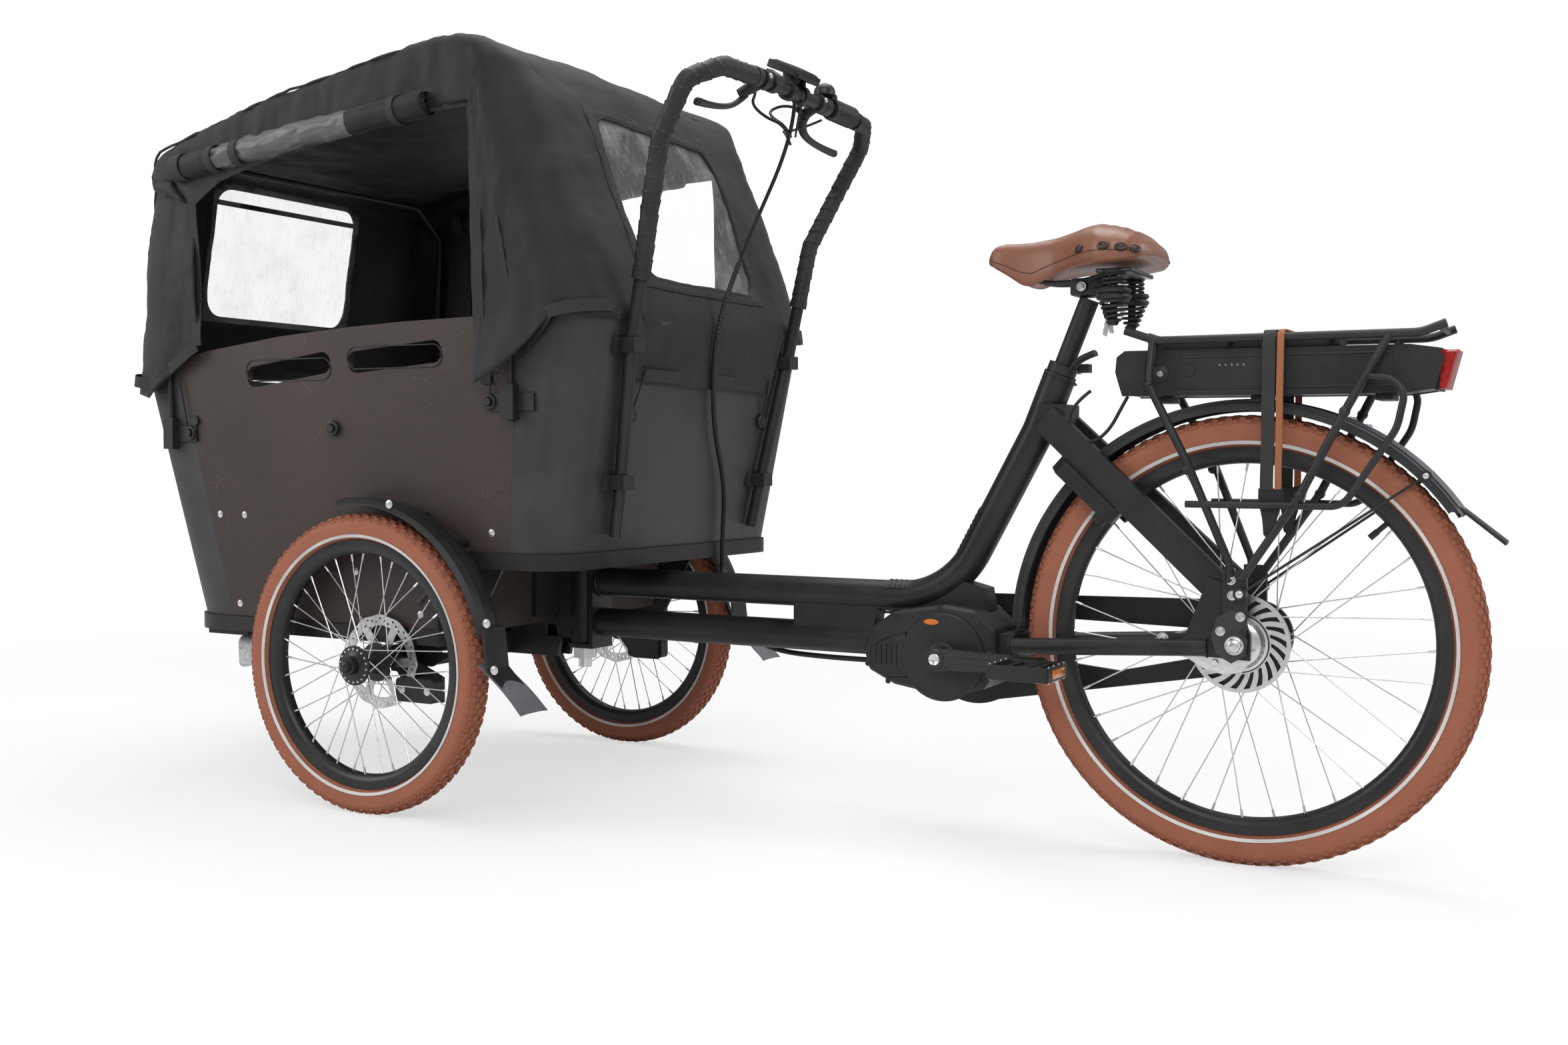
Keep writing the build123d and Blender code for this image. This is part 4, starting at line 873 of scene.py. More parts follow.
def tread(name, radius, finish_name):
    """Rows of small blocks round the crown and the shoulders."""
    pitch = 0.0205
    count = int(2 * pi * radius / pitch)
    meshes = []
    mid_r = radius - 0.0195
    for row, (tilt, shift, size) in enumerate(((0.0, 0.0, (0.0085, 0.0125, 0.0014)),
                                               (0.36, 0.5, (0.0062, 0.0115, 0.0016)),
                                                (-0.36, 0.5, (0.0062, 0.0115, 0.0016)),
                                                (0.74, 0.0, (0.0052, 0.0100, 0.0021)),
                                                (-0.74, 0.0, (0.0052, 0.0100, 0.0021)),
                                                (1.08, 0.5, (0.0045, 0.0080, 0.0021)),
                                                (-1.08, 0.5, (0.0045, 0.0080, 0.0021)))):
        work = knob(*size)
        reach = 0.0193 + 0.0030 * abs(sin(tilt))
        for vert in work.bm.verts:
            lift = reach + vert.co.x
            y = vert.co.y
            vert.co = Vector((mid_r + lift * cos(tilt) - y * sin(tilt),
                              lift * sin(tilt) * 1.07 + y * cos(tilt), vert.co.z))
        meshes.append(around(f"{name}_row{row}", work.mesh("knob"), count, (0, 0, 0), finish_name,
                             phase=shift * 2 * pi / count))
    return meshes


def wheel_parts(tag, hub, radius, rim_r, body, spokes, flange_y, flange_r, middle=0.0):
    """Tyre with its tread and line, rim, spokes with nipples, and hub, all on one axle."""
    centre = Vector(hub)
    work = Forge()
    work.turned(tyre_profile(radius - 0.0012, rim_r), centre, 120)
    for mesh in tread(tag + "_tread", radius, "tyre_rubber"):
        work.take(mesh, Matrix.Translation(centre))
    work.use(1)
    for sign in (1, -1):
        line_r = rim_r + 0.0062
        work.turned([(sign * 0.0205, line_r - 0.0022), (sign * 0.0212, line_r - 0.0026),
                     (sign * 0.0236, line_r + 0.0020),
                     (sign * 0.0226, line_r + 0.0026)], centre, 120)
    work.piece(tag + "_tyre_dressed", body, ["tyre_rubber", "white_line"], [tag + "_tyre"], 40.0)

    work = Forge()
    r = rim_r - 0.0005
    work.turned([(-0.0150, r), (-0.0122, r), (-0.0118, r - 0.007), (0.0118, r - 0.007), (0.0122, r),
                 (0.0150, r),
                 (0.0152, r - 0.003), (0.0147, r - 0.012), (0.0128, r - 0.0175), (0.0080, r - 0.0225),
                 (0.0030, r - 0.0240), (-0.0030, r - 0.0240), (-0.0080, r - 0.0225), (-0.0128, r - 0.0175),
                 (-0.0147, r - 0.012), (-0.0152, r - 0.003)], centre, 120)
    stem = centre + Vector((cos(2.4) * (r - 0.040), 0.0, sin(2.4) * (r - 0.040)))
    work.tube([centre + (stem - centre) * (1 + 0.016 / (r - 0.04)), stem], 0.0040, 10)
    work.tube([stem, centre + (stem - centre) * 0.945], 0.0048, 10)
    work.piece(tag + "_rim_dressed", body, ["black_rim"], [tag + "_rim"])

    reach = rim_r - 0.0245
    bars, nipples, heads = [], [], []
    for i in range(spokes):
        y_side = 1 if i % 2 else -1
        lean = radians(60 if (i // 2) % 2 else -60)
        turn = 2 * pi * i / spokes
        foot = centre + Vector(((flange_r - 0.005) * cos(turn + lean), y_side * flange_y + middle,
                                (flange_r - 0.005) * sin(turn + lean)))
        tip = centre + Vector((reach * cos(turn), y_side * 0.003, reach * sin(turn)))
        along = (tip - foot).normalized()
        bars.append((foot, along, (tip - foot).length))
        nipples.append((tip - along * 0.011, along))
        heads.append((foot + Vector((0, y_side * 0.0022, 0)), Vector((0, y_side, 0))))
    work = Forge()
    rod_mesh = Forge().tube([(0, 0, 0), (0, 0, 1)], 0.0010, 6).mesh("spoke")
    for foot, along, length in bars:
        turn = along.to_track_quat("Z", "Y").to_matrix().to_4x4()
        work.take(rod_mesh, Matrix.Translation(foot) @ turn @ Matrix.Diagonal((1, 1, length, 1)))
    nipple = Forge().turned([(0.0, 0.0004), (0.0, 0.0017), (0.009, 0.0019), (0.012, 0.0024),
                             (0.014, 0.0022),
                             (0.014, 0.0004)], (0, 0, 0), 8, axis="Z").mesh("nipple")
    work.take(spread(tag + "_nipples", nipple, nipples, "steel"))
    head = Forge().ball((0, 0, 0), 0.0022, 1.0, 4).mesh("spoke_head")
    work.take(spread(tag + "_heads", head, heads, "steel"))
    work.use(1)
    body_r = 0.018 if flange_r < 0.04 else 0.040
    a, b = middle - flange_y, middle + flange_y
    work.turned([(a - 0.006, 0.0061), (a - 0.006, body_r * 0.92), (a - 0.0035, body_r + 0.002),
                 (a - 0.0018, flange_r),
                 (a + 0.0018, flange_r), (a + 0.0032, body_r + 0.002), (a + 0.009, body_r * 0.94),
                 (middle, body_r * 0.90),
                 (b - 0.009, body_r * 0.94), (b - 0.0032, body_r + 0.002), (b - 0.0018, flange_r),
                 (b + 0.0018, flange_r),
                 (b + 0.0035, body_r + 0.002), (b + 0.006, body_r * 0.92), (b + 0.006, 0.0061)], centre, 48)
    work.piece(tag + "_hub_dressed", body, ["steel", "black_rim"], [tag + "_hub"])


def wave_rotor(tag, hub, sign, body):
    """A thin brake disc: wavy rim, rows of round holes and six bent arms."""
    plane_y = hub.y - sign * 0.036
    outer = [((0.0790 + 0.0010 * cos(12 * a)) * cos(a), (0.0790 + 0.0010 * cos(12 * a)) * sin(a))
             for a in [2 * pi * k / 144 for k in range(144)]]
    holes = []
    for k in range(48):
        a = 2 * pi * k / 48
        r = (0.0735, 0.0700, 0.0665)[k % 3]
        holes.append(circle(0.0021, 8, (r * cos(a), r * sin(a))))
    for k in range(6):
        a0 = 2 * pi * k / 6
        window = []
        for t in (0.10, 0.35, 0.6, 0.85):
            a = a0 + t * 2 * pi / 6
            window.append((0.0615 * cos(a), 0.0615 * sin(a)))
        for t in (0.62, 0.45, 0.30, 0.12):
            a = a0 + (t + 0.18) * 2 * pi / 6
            window.append((0.0255 * cos(a), 0.0255 * sin(a)))
        holes.append(window)
    holes.append(circle(0.0098, 24))
    mesh = cut_sheet("disc", outer, holes, 0.0018, across_y(hub.x, plane_y, hub.z))
    work = Forge().take(mesh)
    low, high = sorted((plane_y + sign * 0.0009, hub.y - sign * 0.0323))
    work.turned([(low - hub.y, 0.0101), (low - hub.y, 0.0205), (high - hub.y, 0.0200),
                 (high - hub.y, 0.0101)], hub, 32)
    bolts = []
    for k in range(6):
        a = 2 * pi * (k + 0.4) / 6
        bolts.append((Vector((hub.x + 0.0165 * cos(a), plane_y - sign * 0.0009, hub.z + 0.0165 * sin(a))),
                      (0, -sign, 0)))
    work.take(spread(tag + "_bolts", screw_head(0.0028, 0.002), bolts, "steel"))
    work.piece(tag + "_rotor_dressed", body, ["rotor_steel"], [tag + "_rotor"], 30.0)


wheel_parts("rear", REAR_HUB, REAR_WHEEL_R, 0.2855, "rear_wheel", 36, 0.027, 0.046, -0.003)
for label, sign in (("front_left", 1), ("front_right", -1)):
    front_hub = Vector((FRONT, sign * TRACK_HALF, FRONT_WHEEL_R))
    wheel_parts(label, front_hub, FRONT_WHEEL_R, 0.209, label + "_wheel", 36, 0.026, 0.033)
    wave_rotor(label, front_hub, sign, label + "_wheel")
    # Axle end: washer, nut and dome
    work = Forge()
    work.turned([(sign * 0.0420, 0.0003), (sign * 0.0420, 0.0150), (sign * 0.0440, 0.0150),
                 (sign * 0.0445, 0.0098),
                 (sign * 0.0500, 0.0092), (sign * 0.0520, 0.0060), (sign * 0.0525, 0.0003)], front_hub, 24)
    work.piece(label + "_axle_end", "front_carriage", ["black_steel"])


# Canopy: one curved sheet over two hoops
CLOTH_HALF = 0.378
CLOTH_SIDE = [(936, 680), (926, 735), (911, 822), (914, 840), (931, 889), (1046, 1181), (1085, 1245),
              (1130, 1270),
              (1215, 1277), (1343, 1260), (1587, 1221), (1792, 1172), (1868, 1150), (1918, 1132),
              (1978, 760), (1991, 680)]
# outer point and the point of the side opening's edge that goes with it, rear hem to front hem
EDGE_PAIRS = [((912, 812), (1125, 712)), ((1046, 1181), (1133, 1110)), ((1130, 1270), (1140, 1163)),
              ((1215, 1277), (1225, 1160)), ((1587, 1221), (1590, 1113)), ((1792, 1172), (1700, 1088)),
              ((1905, 1135), (1767, 1048)), ((1945, 965), (1764, 940)), ((1979, 752), (1758, 795))]
WINDOW_REAR = (889, 1170)
WINDOW_FRONT = (865, 1122)
WINDOW_HALF = 0.190


def flat_line(points, step, reach):
    """A line in X and Z with even steps, its corners eased over a reach."""
    line = even_line([Vector((x / 1000, 0, z / 1000)) for x, z in points], step)
    around_by = max(1, int(reach / step))
    eased = []
    for i in range(len(line)):
        span = min(around_by, i, len(line) - 1 - i)
        near = line[i - span:i + span + 1]
        eased.append(sum(near, Vector()) / len(near))
    return eased


CLOTH_LINE = flat_line(CLOTH_SIDE, 0.004, 0.020)
CLOTH_RUN = [0.0]
for here, there in zip(CLOTH_LINE, CLOTH_LINE[1:]):
    CLOTH_RUN.append(CLOTH_RUN[-1] + (there - here).length)


def run_near(x, z):
    goal = Vector((x / 1000, 0, z / 1000))
    return CLOTH_RUN[min(range(len(CLOTH_LINE)), key=lambda i: (CLOTH_LINE[i] - goal).length_squared)]


def cloth_line(run):
    """Point and outward direction on the canopy's outline in X and Z."""
    place = max(0.0, min(run / CLOTH_RUN[-1], 1.0)) * (len(CLOTH_LINE) - 1)
    k = min(int(place), len(CLOTH_LINE) - 2)
    point = CLOTH_LINE[k].lerp(CLOTH_LINE[k + 1], place - k)
    low, high = max(k - 3, 0), min(k + 4, len(CLOTH_LINE) - 1)
    along = (CLOTH_LINE[high] - CLOTH_LINE[low]).normalized()
    return point, Vector((-along.z, 0, along.x))


RUNS = [run_near(*pair[0]) for pair in EDGE_PAIRS]
REAR_RUN, FRONT_RUN = RUNS[0], RUNS[-1]
REAR_TOP = (run_near(1046, 1181), run_near(1125, 1268))
FRONT_TOP = (run_near(1850, 1155), run_near(1921, 1110))


def ease(t):
    t = max(0.0, min(1.0, t))
    return t * t * (3 - 2 * t)


def corner_radius(run):
    rear = 1 - ease((run - REAR_TOP[0]) / (REAR_TOP[1] - REAR_TOP[0]))
    front = ease((run - FRONT_TOP[0]) / (FRONT_TOP[1] - FRONT_TOP[0]))
    return 0.028 + 0.044 * rear + 0.072 * front


def opening_edge(run):
    for (a, b), (p, q) in zip(zip(RUNS, RUNS[1:]), zip(EDGE_PAIRS, EDGE_PAIRS[1:])):
        if run <= b or b == RUNS[-1]:
            t = (run - a) / (b - a)
            return Vector((p[1][0], 0, p[1][1])).lerp(Vector((q[1][0], 0, q[1][1])),
                                                      max(0.0, min(1.0, t))) / 1000


def cloth_point(u, v):
    """A point of the sheet.

    u runs from the rear hem to the front one. v is -1 to 1 across the top or the walls, goes to 2 round the
    corner, and to 3 down the side to the opening."""
    side = 1 if v >= 0 else -1
    across = abs(v)
    run = REAR_RUN + u * (FRONT_RUN - REAR_RUN)
    rear_pull = max(0.0, 1 - u / 0.10)
    front_pull = max(0.0, (u - 0.90) / 0.10)
    if across <= 1:
        y = across * (CLOTH_HALF - 0.072)
        run -= rear_pull * 0.100 * (1 - ease((y - 0.219) / 0.016))
        run += front_pull * 0.034 * ease((across - 0.75) / 0.25)
    else:
        run += front_pull * 0.034
    point, out = cloth_line(run)
    radius = corner_radius(run)
    if across <= 1:
        made = point + Vector((0, across * (CLOTH_HALF - radius), 0))
    elif across <= 2:
        turn = (across - 1) * pi / 2
        made = point - out * radius * (1 - cos(turn)) + Vector((0, CLOTH_HALF - radius + radius * sin(turn),
                                                                0))
    else:
        t = across - 2
        start = point - out * radius
        goal = opening_edge(run)
        made = start.lerp(goal, t)
        hang = 4 * t * (1 - t)
        made.z -= rear_pull * 0.018 * hang
        made.y = CLOTH_HALF
    return Vector((REAR + made.x, side * made.y, made.z))


def cloth_rows():
    rows = [i / 190 for i in range(191)]
    for x, z in ((931, 889), (1041.7, 1170), (1919.6, 1122), (1961, 865)):
        goal = (run_near(x, z) - REAR_RUN) / (FRONT_RUN - REAR_RUN)
        rows[min(range(len(rows)), key=lambda i: abs(rows[i] - goal))] = goal
    return sorted(rows)


def wrinkle(point):
    """How far the cloth stands off its plain form, outwards, at a point."""
    x, y, z = (point.x - REAR), point.y, point.z
    roof = ease((z - 1.10) / 0.08) * ease((x - 1.12) / 0.1) * (1 - ease((x - 1.82) / 0.08))
    sag = -0.010 * roof * sin(pi * max(0.0, min(1.0, (x - 1.13) / 0.72))) * (1 - (y / 0.378) ** 2)
    low = 1 - ease((z - 0.74) / 0.22)
    wave = 0.0045 * low * sin(x * 38 + 2.5 * fractal(point * 5, 1.0, 2.0, 2)) * ease(abs(y) / 0.3)
    broad = 0.006 * fractal(point * 4.5 + Vector((3, 1, 7)), 0.9, 2.0, 3)
    pull = Vector((x * 26, y * 10, z * 7 + x * 5))
    crease = 0.0030 * fractal(pull, 0.8, 2.1, 4)
    fine = 0.0010 * fractal(point * 60, 0.7, 2.0, 2)
    flare = (0.014 * (1 - ease((z - 0.73) / 0.10)) * ease((abs(y) - 0.30) / 0.06)
             * (1 - ease((x - 1.10) / 0.12)))
    return sag + wave + broad + crease + fine + flare


def cloth_sheet(name, us, vs, lift, thickness, finish_name, keep=None, waves=True):
    """A stretch of the sheet as a grid, with its thickness inwards."""
    mesh = bpy.data.meshes.new(name)
    points = [cloth_point(u, v) for u in us for v in vs]
    wide = len(vs)
    faces = []
    for i in range(len(us) - 1):
        for j in range(wide - 1):
            corners = (i * wide + j, i * wide + j + 1, (i + 1) * wide + j + 1, (i + 1) * wide + j)
            if keep is None or keep(sum((points[c] for c in corners), Vector()) / 4,
                                    (vs[j] + vs[j + 1]) / 2):
                faces.append(corners)
    mesh.from_pydata([tuple(p) for p in points], [], faces)
    bm = bmesh.new()
    bm.from_mesh(mesh)
    bmesh.ops.delete(bm, geom=[v for v in bm.verts if not v.link_faces], context="VERTS")
    bmesh.ops.recalc_face_normals(bm, faces=bm.faces)
    bm.faces.ensure_lookup_table()
    top = max(bm.faces, key=lambda f: f.calc_center_median().z + abs(f.normal.z))
    if top.normal.z < 0:
        bmesh.ops.reverse_faces(bm, faces=bm.faces)
    bm.normal_update()
    moves = [(v, v.normal * ((wrinkle(v.co) if waves else 0.0) + lift)) for v in bm.verts]
    for vert, move in moves:
        vert.co += move
    bm.to_mesh(mesh)
    bm.free()
    made = object_of(name, mesh)
    area = sum(p.area for p in mesh.polygons)
    solid = made.modifiers.new("thick", "SOLIDIFY")
    solid.thickness = thickness
    solid.offset = -1.0
    plain = bpy.data.meshes.new_from_object(made.evaluated_get(bpy.context.evaluated_depsgraph_get()))
    made.modifiers.clear()
    made.data = plain
    settle(made, "front_carriage", finish_name, (), None)
    return made, area


def in_window(middle, v, grow=0.0):
    if abs(middle.y) > WINDOW_HALF + grow or abs(v) > 1:
        return False
    x = (middle.x - REAR) * 1000
    low, high = WINDOW_REAR if x < 1200 else WINDOW_FRONT
    inside = low - grow * 1000 < middle.z * 1000 < high + grow * 1000
    return inside and (x < 1050 or x > 1900)


ROWS = cloth_rows()
FACE_COLUMNS = sorted({round(k / 28, 4) for k in range(29)} - {0.6071, 0.6429,
                                                               0.6786} | {0.6209, 0.6500, 0.6835})
SIDE_COLUMNS = [1 + k / 7 for k in range(1, 8)] + [2 + k / 14 for k in range(1, 15)]
HALF_COLUMNS = FACE_COLUMNS + SIDE_COLUMNS
COLUMNS = [-v for v in reversed(HALF_COLUMNS) if v > 0] + HALF_COLUMNS
canopy_sheet, canopy_area = cloth_sheet("canopy_sheet", ROWS, COLUMNS, 0.0, 0.0016, "canvas",
                                        keep=lambda middle, v: not in_window(middle, v))
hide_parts("canopy")


def wall_point(front, y, z):
    """A point and the outward direction on the front or rear wall, by its width and height in millimetres."""
    runs = [i for i in range(len(CLOTH_LINE)) if (CLOTH_LINE[i].x > 1.5) == front]
    k = min(runs, key=lambda i: abs(CLOTH_LINE[i].z - z / 1000))
    point, out = cloth_line(CLOTH_RUN[k])
    made = Vector((REAR + point.x, y / 1000, z / 1000))
    return made + out * wrinkle(made), out


def rounded_frame(half, low, high, radius, count=7):
    """Points round a rectangle with rounded corners, as (y, z)."""
    points = []
    for cy, cz, first in ((half - radius, high - radius, 0), (-half + radius, high - radius, 90),
                          (-half + radius, low + radius, 180), (half - radius, low + radius, 270)):
        for k in range(count + 1):
            a = radians(first + 90 * k / count)
            points.append((cy + radius * cos(a), cz + radius * sin(a)))
    dense = []
    for a, b in zip(points, points[1:] + points[:1]):
        parts = max(1, int(hypot(b[0] - a[0], b[1] - a[1]) / 14))
        dense += [(a[0] + (b[0] - a[0]) * k / parts,
                   a[1] + (b[1] - a[1]) * k / parts) for k in range(parts)]
    return dense


# Window films, their binding and its stitches
films, bindings, stitches = [], Forge(), []
for front, (low, high) in ((False, WINDOW_REAR), (True, WINDOW_FRONT)):
    name = "film_front" if front else "film_rear"
    grid = Forge()
    rows = []
    for i in range(25):
        z = low - 5 + (high - low + 10) * i / 24
        row = []
        for j in range(31):
            y = -195 + 390 * j / 30
            point, out = wall_point(front, y, z)
            buckle = 0.0022 * fractal(point * 22 + Vector((0, 0, 5)), 0.8, 2.1, 3)
            row.append(point + out * (buckle - 0.0034))
        rows.append(row)
    loops = [grid.loop(row) for row in rows]
    for a, b in zip(loops, loops[1:]):
        for i in range(30):
            grid.face((a[i], a[i + 1], b[i + 1], b[i]))
    mesh = grid.mesh(name)
    film = object_of(name, mesh)
    solid = film.modifiers.new("thick", "SOLIDIFY")
    solid.thickness = 0.0006
    plain = bpy.data.meshes.new_from_object(film.evaluated_get(bpy.context.evaluated_depsgraph_get()))
    film.modifiers.clear()
    film.data = plain
    settle(film, "front_carriage", "film", (), None)
    films.append(film)

    inner = rounded_frame(184, low + 6, high - 6, 34)
    outer = []
    for y, z in inner:
        mid_z = (low + high) / 2
        grow_y = 203 / max(abs(y), 1e-6)
        grow_z = ((high - low) / 2 + 13) / max(abs(z - mid_z), 1e-6)
        grow = min(grow_y, grow_z)
        outer.append((y * grow, mid_z + (z - mid_z) * grow))
    rings = []
    for lift, share in ((0.0002, 0.0), (0.0022, 0.04), (0.0026, 0.5), (0.0016, 1.0), (-0.0022, 1.0),
                        (-0.0022, 0.0)):
        ring = []
        for (y0, z0), (y1, z1) in zip(inner, outer):
            point, out = wall_point(front, y0 + (y1 - y0) * share, z0 + (z1 - z0) * share)
            ring.append(point + out * lift)
        rings.append(ring)
    rings.append(rings[0])
    loops = [bindings.loop(ring) for ring in rings[:-1]]
    loops.append(loops[0])
    for a, b in zip(loops, loops[1:]):
        for i in range(len(a)):
            j = (i + 1) % len(a)
            bindings.face((a[i], a[j], b[j], b[i]))
    for share in (0.22, 0.80):
        for (y0, z0), (y1, z1), (y2, z2) in zip(inner, outer, inner[1:] + inner[:1]):
            parts = max(1, int(hypot(y2 - y0, z2 - z0) / 4.5))
            for k in range(parts):
                y = y0 + (y2 - y0) * k / parts + (y1 - y0) * share
                z = z0 + (z2 - z0) * k / parts + (z1 - z0) * share
                point, out = wall_point(front, y, z)
                stitches.append((point + out * 0.0026, Vector((0, y2 - y0, z2 - z0)).normalized()))
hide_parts("canopy_windows")
binding = bindings.piece("window_binding", "front_carriage", ["canvas_trim"], (), 50.0)


# Hems, piping and zips along the sheet
def sheet_path(us_vs, step=0.010):
    """Points on the finished cloth with their outward directions, along parameter pairs."""
    points, outs = [], []
    for (u0, v0), (u1, v1) in zip(us_vs, us_vs[1:]):
        parts = max(1, int((cloth_point(u0, v0) - cloth_point(u1, v1)).length / step))
        for k in range(parts):
            u, v = u0 + (u1 - u0) * k / parts, v0 + (v1 - v0) * k / parts
            centre = cloth_point(u, v)
            ahead = cloth_point(min(u + 0.004, 1.0), v) - cloth_point(max(u - 0.004, 0.0), v)
            beside = cloth_point(u, min(v + 0.02, 3.0)) - cloth_point(u, max(v - 0.02, -3.0))
            out = beside.cross(ahead).normalized()
            points.append(centre + out * wrinkle(centre))
            outs.append(out)
    return points, outs


trim = Forge()
piping = Forge()
for sign in (1, -1):
    for us_vs, half_width in (([(k / 60, sign * 2.97) for k in range(61)], 0.011),
                              ([(0.012, sign * (1 + k / 24)) for k in range(49)], 0.010),
                              ([(0.988, sign * (1 + k / 24)) for k in range(49)], 0.010),
                              ([(0.34, sign * (2 + k / 20)) for k in range(20)], 0.004),
                              ([(k / 60 * 0.30, sign * 2.45) for k in range(61)], 0.004)):
        line, outs = sheet_path(us_vs)
        trim.skin(band(line, outs, half_width, 0.0018))
        for point, out, ahead in zip(line, outs, line[1:]):
            stitches.append((point + out * 0.0020, (ahead - point).normalized()))
    line, outs = sheet_path([(0.30 + k / 60 * 0.56, sign * 1.5) for k in range(61)])
    piping.tube([p + o * 0.0010 for p, o in zip(line, outs)], 0.0024, 8)
for us_vs, half_width in (([(0.006, k / 30) for k in range(-30, 31)], 0.010),
                          ([(0.992, k / 30) for k in range(-30, 31)], 0.010),
                          ([(0.335, k / 20) for k in range(-20, 21)], 0.005),
                          ([(0.80, k / 20) for k in range(-20, 21)], 0.005)):
    line, outs = sheet_path(us_vs)
    trim.skin(band(line, outs, half_width, 0.0018))
trim_piece = trim.piece("canopy_trim", "front_carriage", ["canvas_trim"], (), 40.0)
piping_piece = piping.piece("canopy_piping", "front_carriage", ["canvas_trim"], (), 60.0)
stitch = Forge().brick((-0.0004, -0.0004, -0.0013), (0.0004, 0.0004, 0.0013), 0.0002).mesh("stitch")
stitch_piece = object_of("canopy_stitches", spread("stitches", stitch, stitches, "thread"))
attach(stitch_piece, "front_carriage")

# Zip teeth down both edges of each side opening
teeth = []
for sign in (1, -1):
    for first, last in ((0.0, 0.30), (0.80, 1.0)):
        line, outs = sheet_path([(first + (last - first) * k / 40, sign * 2.985) for k in range(41)],
                                0.0042)
        for point, out, ahead in zip(line, outs, line[1:]):
            teeth.append((point + out * 0.0022, (ahead - point).normalized()))
tooth = Forge().brick((-0.0016, -0.0009, -0.0010), (0.0016, 0.0009, 0.0010), 0.0003).mesh("tooth")
zip_piece = object_of("door_zips", spread("zip_teeth", tooth, teeth, "black_plastic"))
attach(zip_piece, "front_carriage")

# Doors rolled up along the top of each opening
for label, sign in (("left", 1), ("right", -1)):
    tail, nose = at(1222, sign * 381, 1166), at(1803, sign * 381, 1108)
    along = (tail - nose).normalized()
    side, lift = cross_frame(along)
    whole = (tail - nose).length
    turns, inner_r, outer_r = 4.0, 0.0070, 0.0222
    around_steps, stations = 96, 104
    work = Forge()
    loops = []
    for i in range(stations + 1):
        share = i / stations
        centre = nose + along * (whole * share)
        centre += Vector((0, sign * 0.0020 * fractal(centre * 9, 1, 2, 2),
                          0.0022 * fractal(centre * 11, 1, 2, 2)))
        film_here = ease((share - 0.15) / 0.03) * (1 - ease((share - 0.70) / 0.04))
        strap_in = sum(0.0036 * max(0.0, 1 - abs(share * whole - r) / 0.022) for r in (0.012, 0.098, 0.160))
        ring = []
        for k in range(around_steps + 1):
            part = k / around_steps
            turn = sign * 2 * pi * turns * part + 1.2
            fold = fractal(Vector((share * 15 + 3, 2.2 * cos(turn) + 2 * part, 2.2 * sin(turn) + 4)), 0.8,
                           2.0, 3)
            r = inner_r + (outer_r - inner_r) * part
            r += part ** 2 * (fold * (0.0016 + 0.0030 * film_here) - strap_in)
            ring.append(centre + side * (cos(turn) * r) + lift * (sin(turn) * r))
        loops.append(work.loop(ring))
    for i, (a, b) in enumerate(zip(loops, loops[1:])):
        for k in range(around_steps):
            share = (i + 0.5) / stations
            work.use(1 if 0.17 < share < 0.72 and k > 0.72 * around_steps else 0)
            work.face((a[k], a[k + 1], b[k + 1], b[k]))
    roll_mesh = work.mesh("door_roll")
    roll_piece = object_of(f"door_roll_{label}", roll_mesh)
    solid = roll_piece.modifiers.new("thick", "SOLIDIFY")
    solid.thickness = 0.0012
    plain = bpy.data.meshes.new_from_object(roll_piece.evaluated_get(bpy.context.evaluated_depsgraph_get()))
    roll_piece.modifiers.clear()
    roll_piece.data = plain
    settle(roll_piece, "front_carriage", ["canvas", "film_rolled"],
           ["door_rolls"] if label == "left" else [], None)
    ties = Forge()
    for run, half_width in ((0.012, 0.013), (0.098, 0.008), (0.160, 0.008), (0.520, 0.007)):
        centre = nose + along * run
        ring, outs = [], []
        for k in range(25):
            turn = 2 * pi * k / 24
            edge = side * cos(turn) + lift * sin(turn)
            ring.append(centre + edge * 0.0222)
            outs.append(edge)
        ties.skin(band(ring, outs, half_width, 0.0016))
    ties.piece(f"door_ties_{label}", "front_carriage", ["strap"], (), 50.0)


# Push bar: wound tape, controls and their cables
BAR_LEFT = [at(*p) for p in ((966, 224, 467), (950, 232, 556), (908, 262, 790), (888, 264, 885),
                             (868, 270, 990),
                             (828, 302, 1090), (780, 306, 1172), (748, 250, 1200), (743, 150, 1202))]
BAR_RIGHT = [Vector((p.x, -p.y, p.z)) for p in reversed(BAR_LEFT)]
BAR_X = REAR + 0.743
BAR_Z = 1.202


def wound_tape(run, turn):
    """Overlapping turns of tape, each with a raised edge and a little slack."""
    lap = (run / 0.0235 + turn / (2 * pi)) % 1.0
    slack = fractal(Vector((run * 60, cos(turn) * 2, sin(turn) * 2)), 0.9, 2.0, 2)
    return 0.0013 * lap + 0.0009 * max(0.0, 1 - abs(lap - 0.95) / 0.05) - 0.0012 + 0.0005 * slack


tape = Forge()
left = joined_bends([at(889.4, 263.86, 878.35)] + BAR_LEFT[3:8] + [at(743.1, 152, 1201.96)], 0.030)
right = joined_bends([at(745.75, -205, 1200.9)] + BAR_RIGHT[1:6] + [at(889.4, -263.86, 878.35)], 0.030)
for line in (left, right):
    tape.tube(even_line(line, 0.0022), 0.0152, 26, wound_tape)
    for end, ahead in ((line[0], line[1]), (line[-1], line[-2])):
        along = (ahead - end).normalized()
        tape.tube([end - along * 0.0005, end + along * 0.0125], 0.0160, 24)
tape.piece("bar_tape_wound", "front_carriage", ["tape"], ["bar_tape"], 28.0)

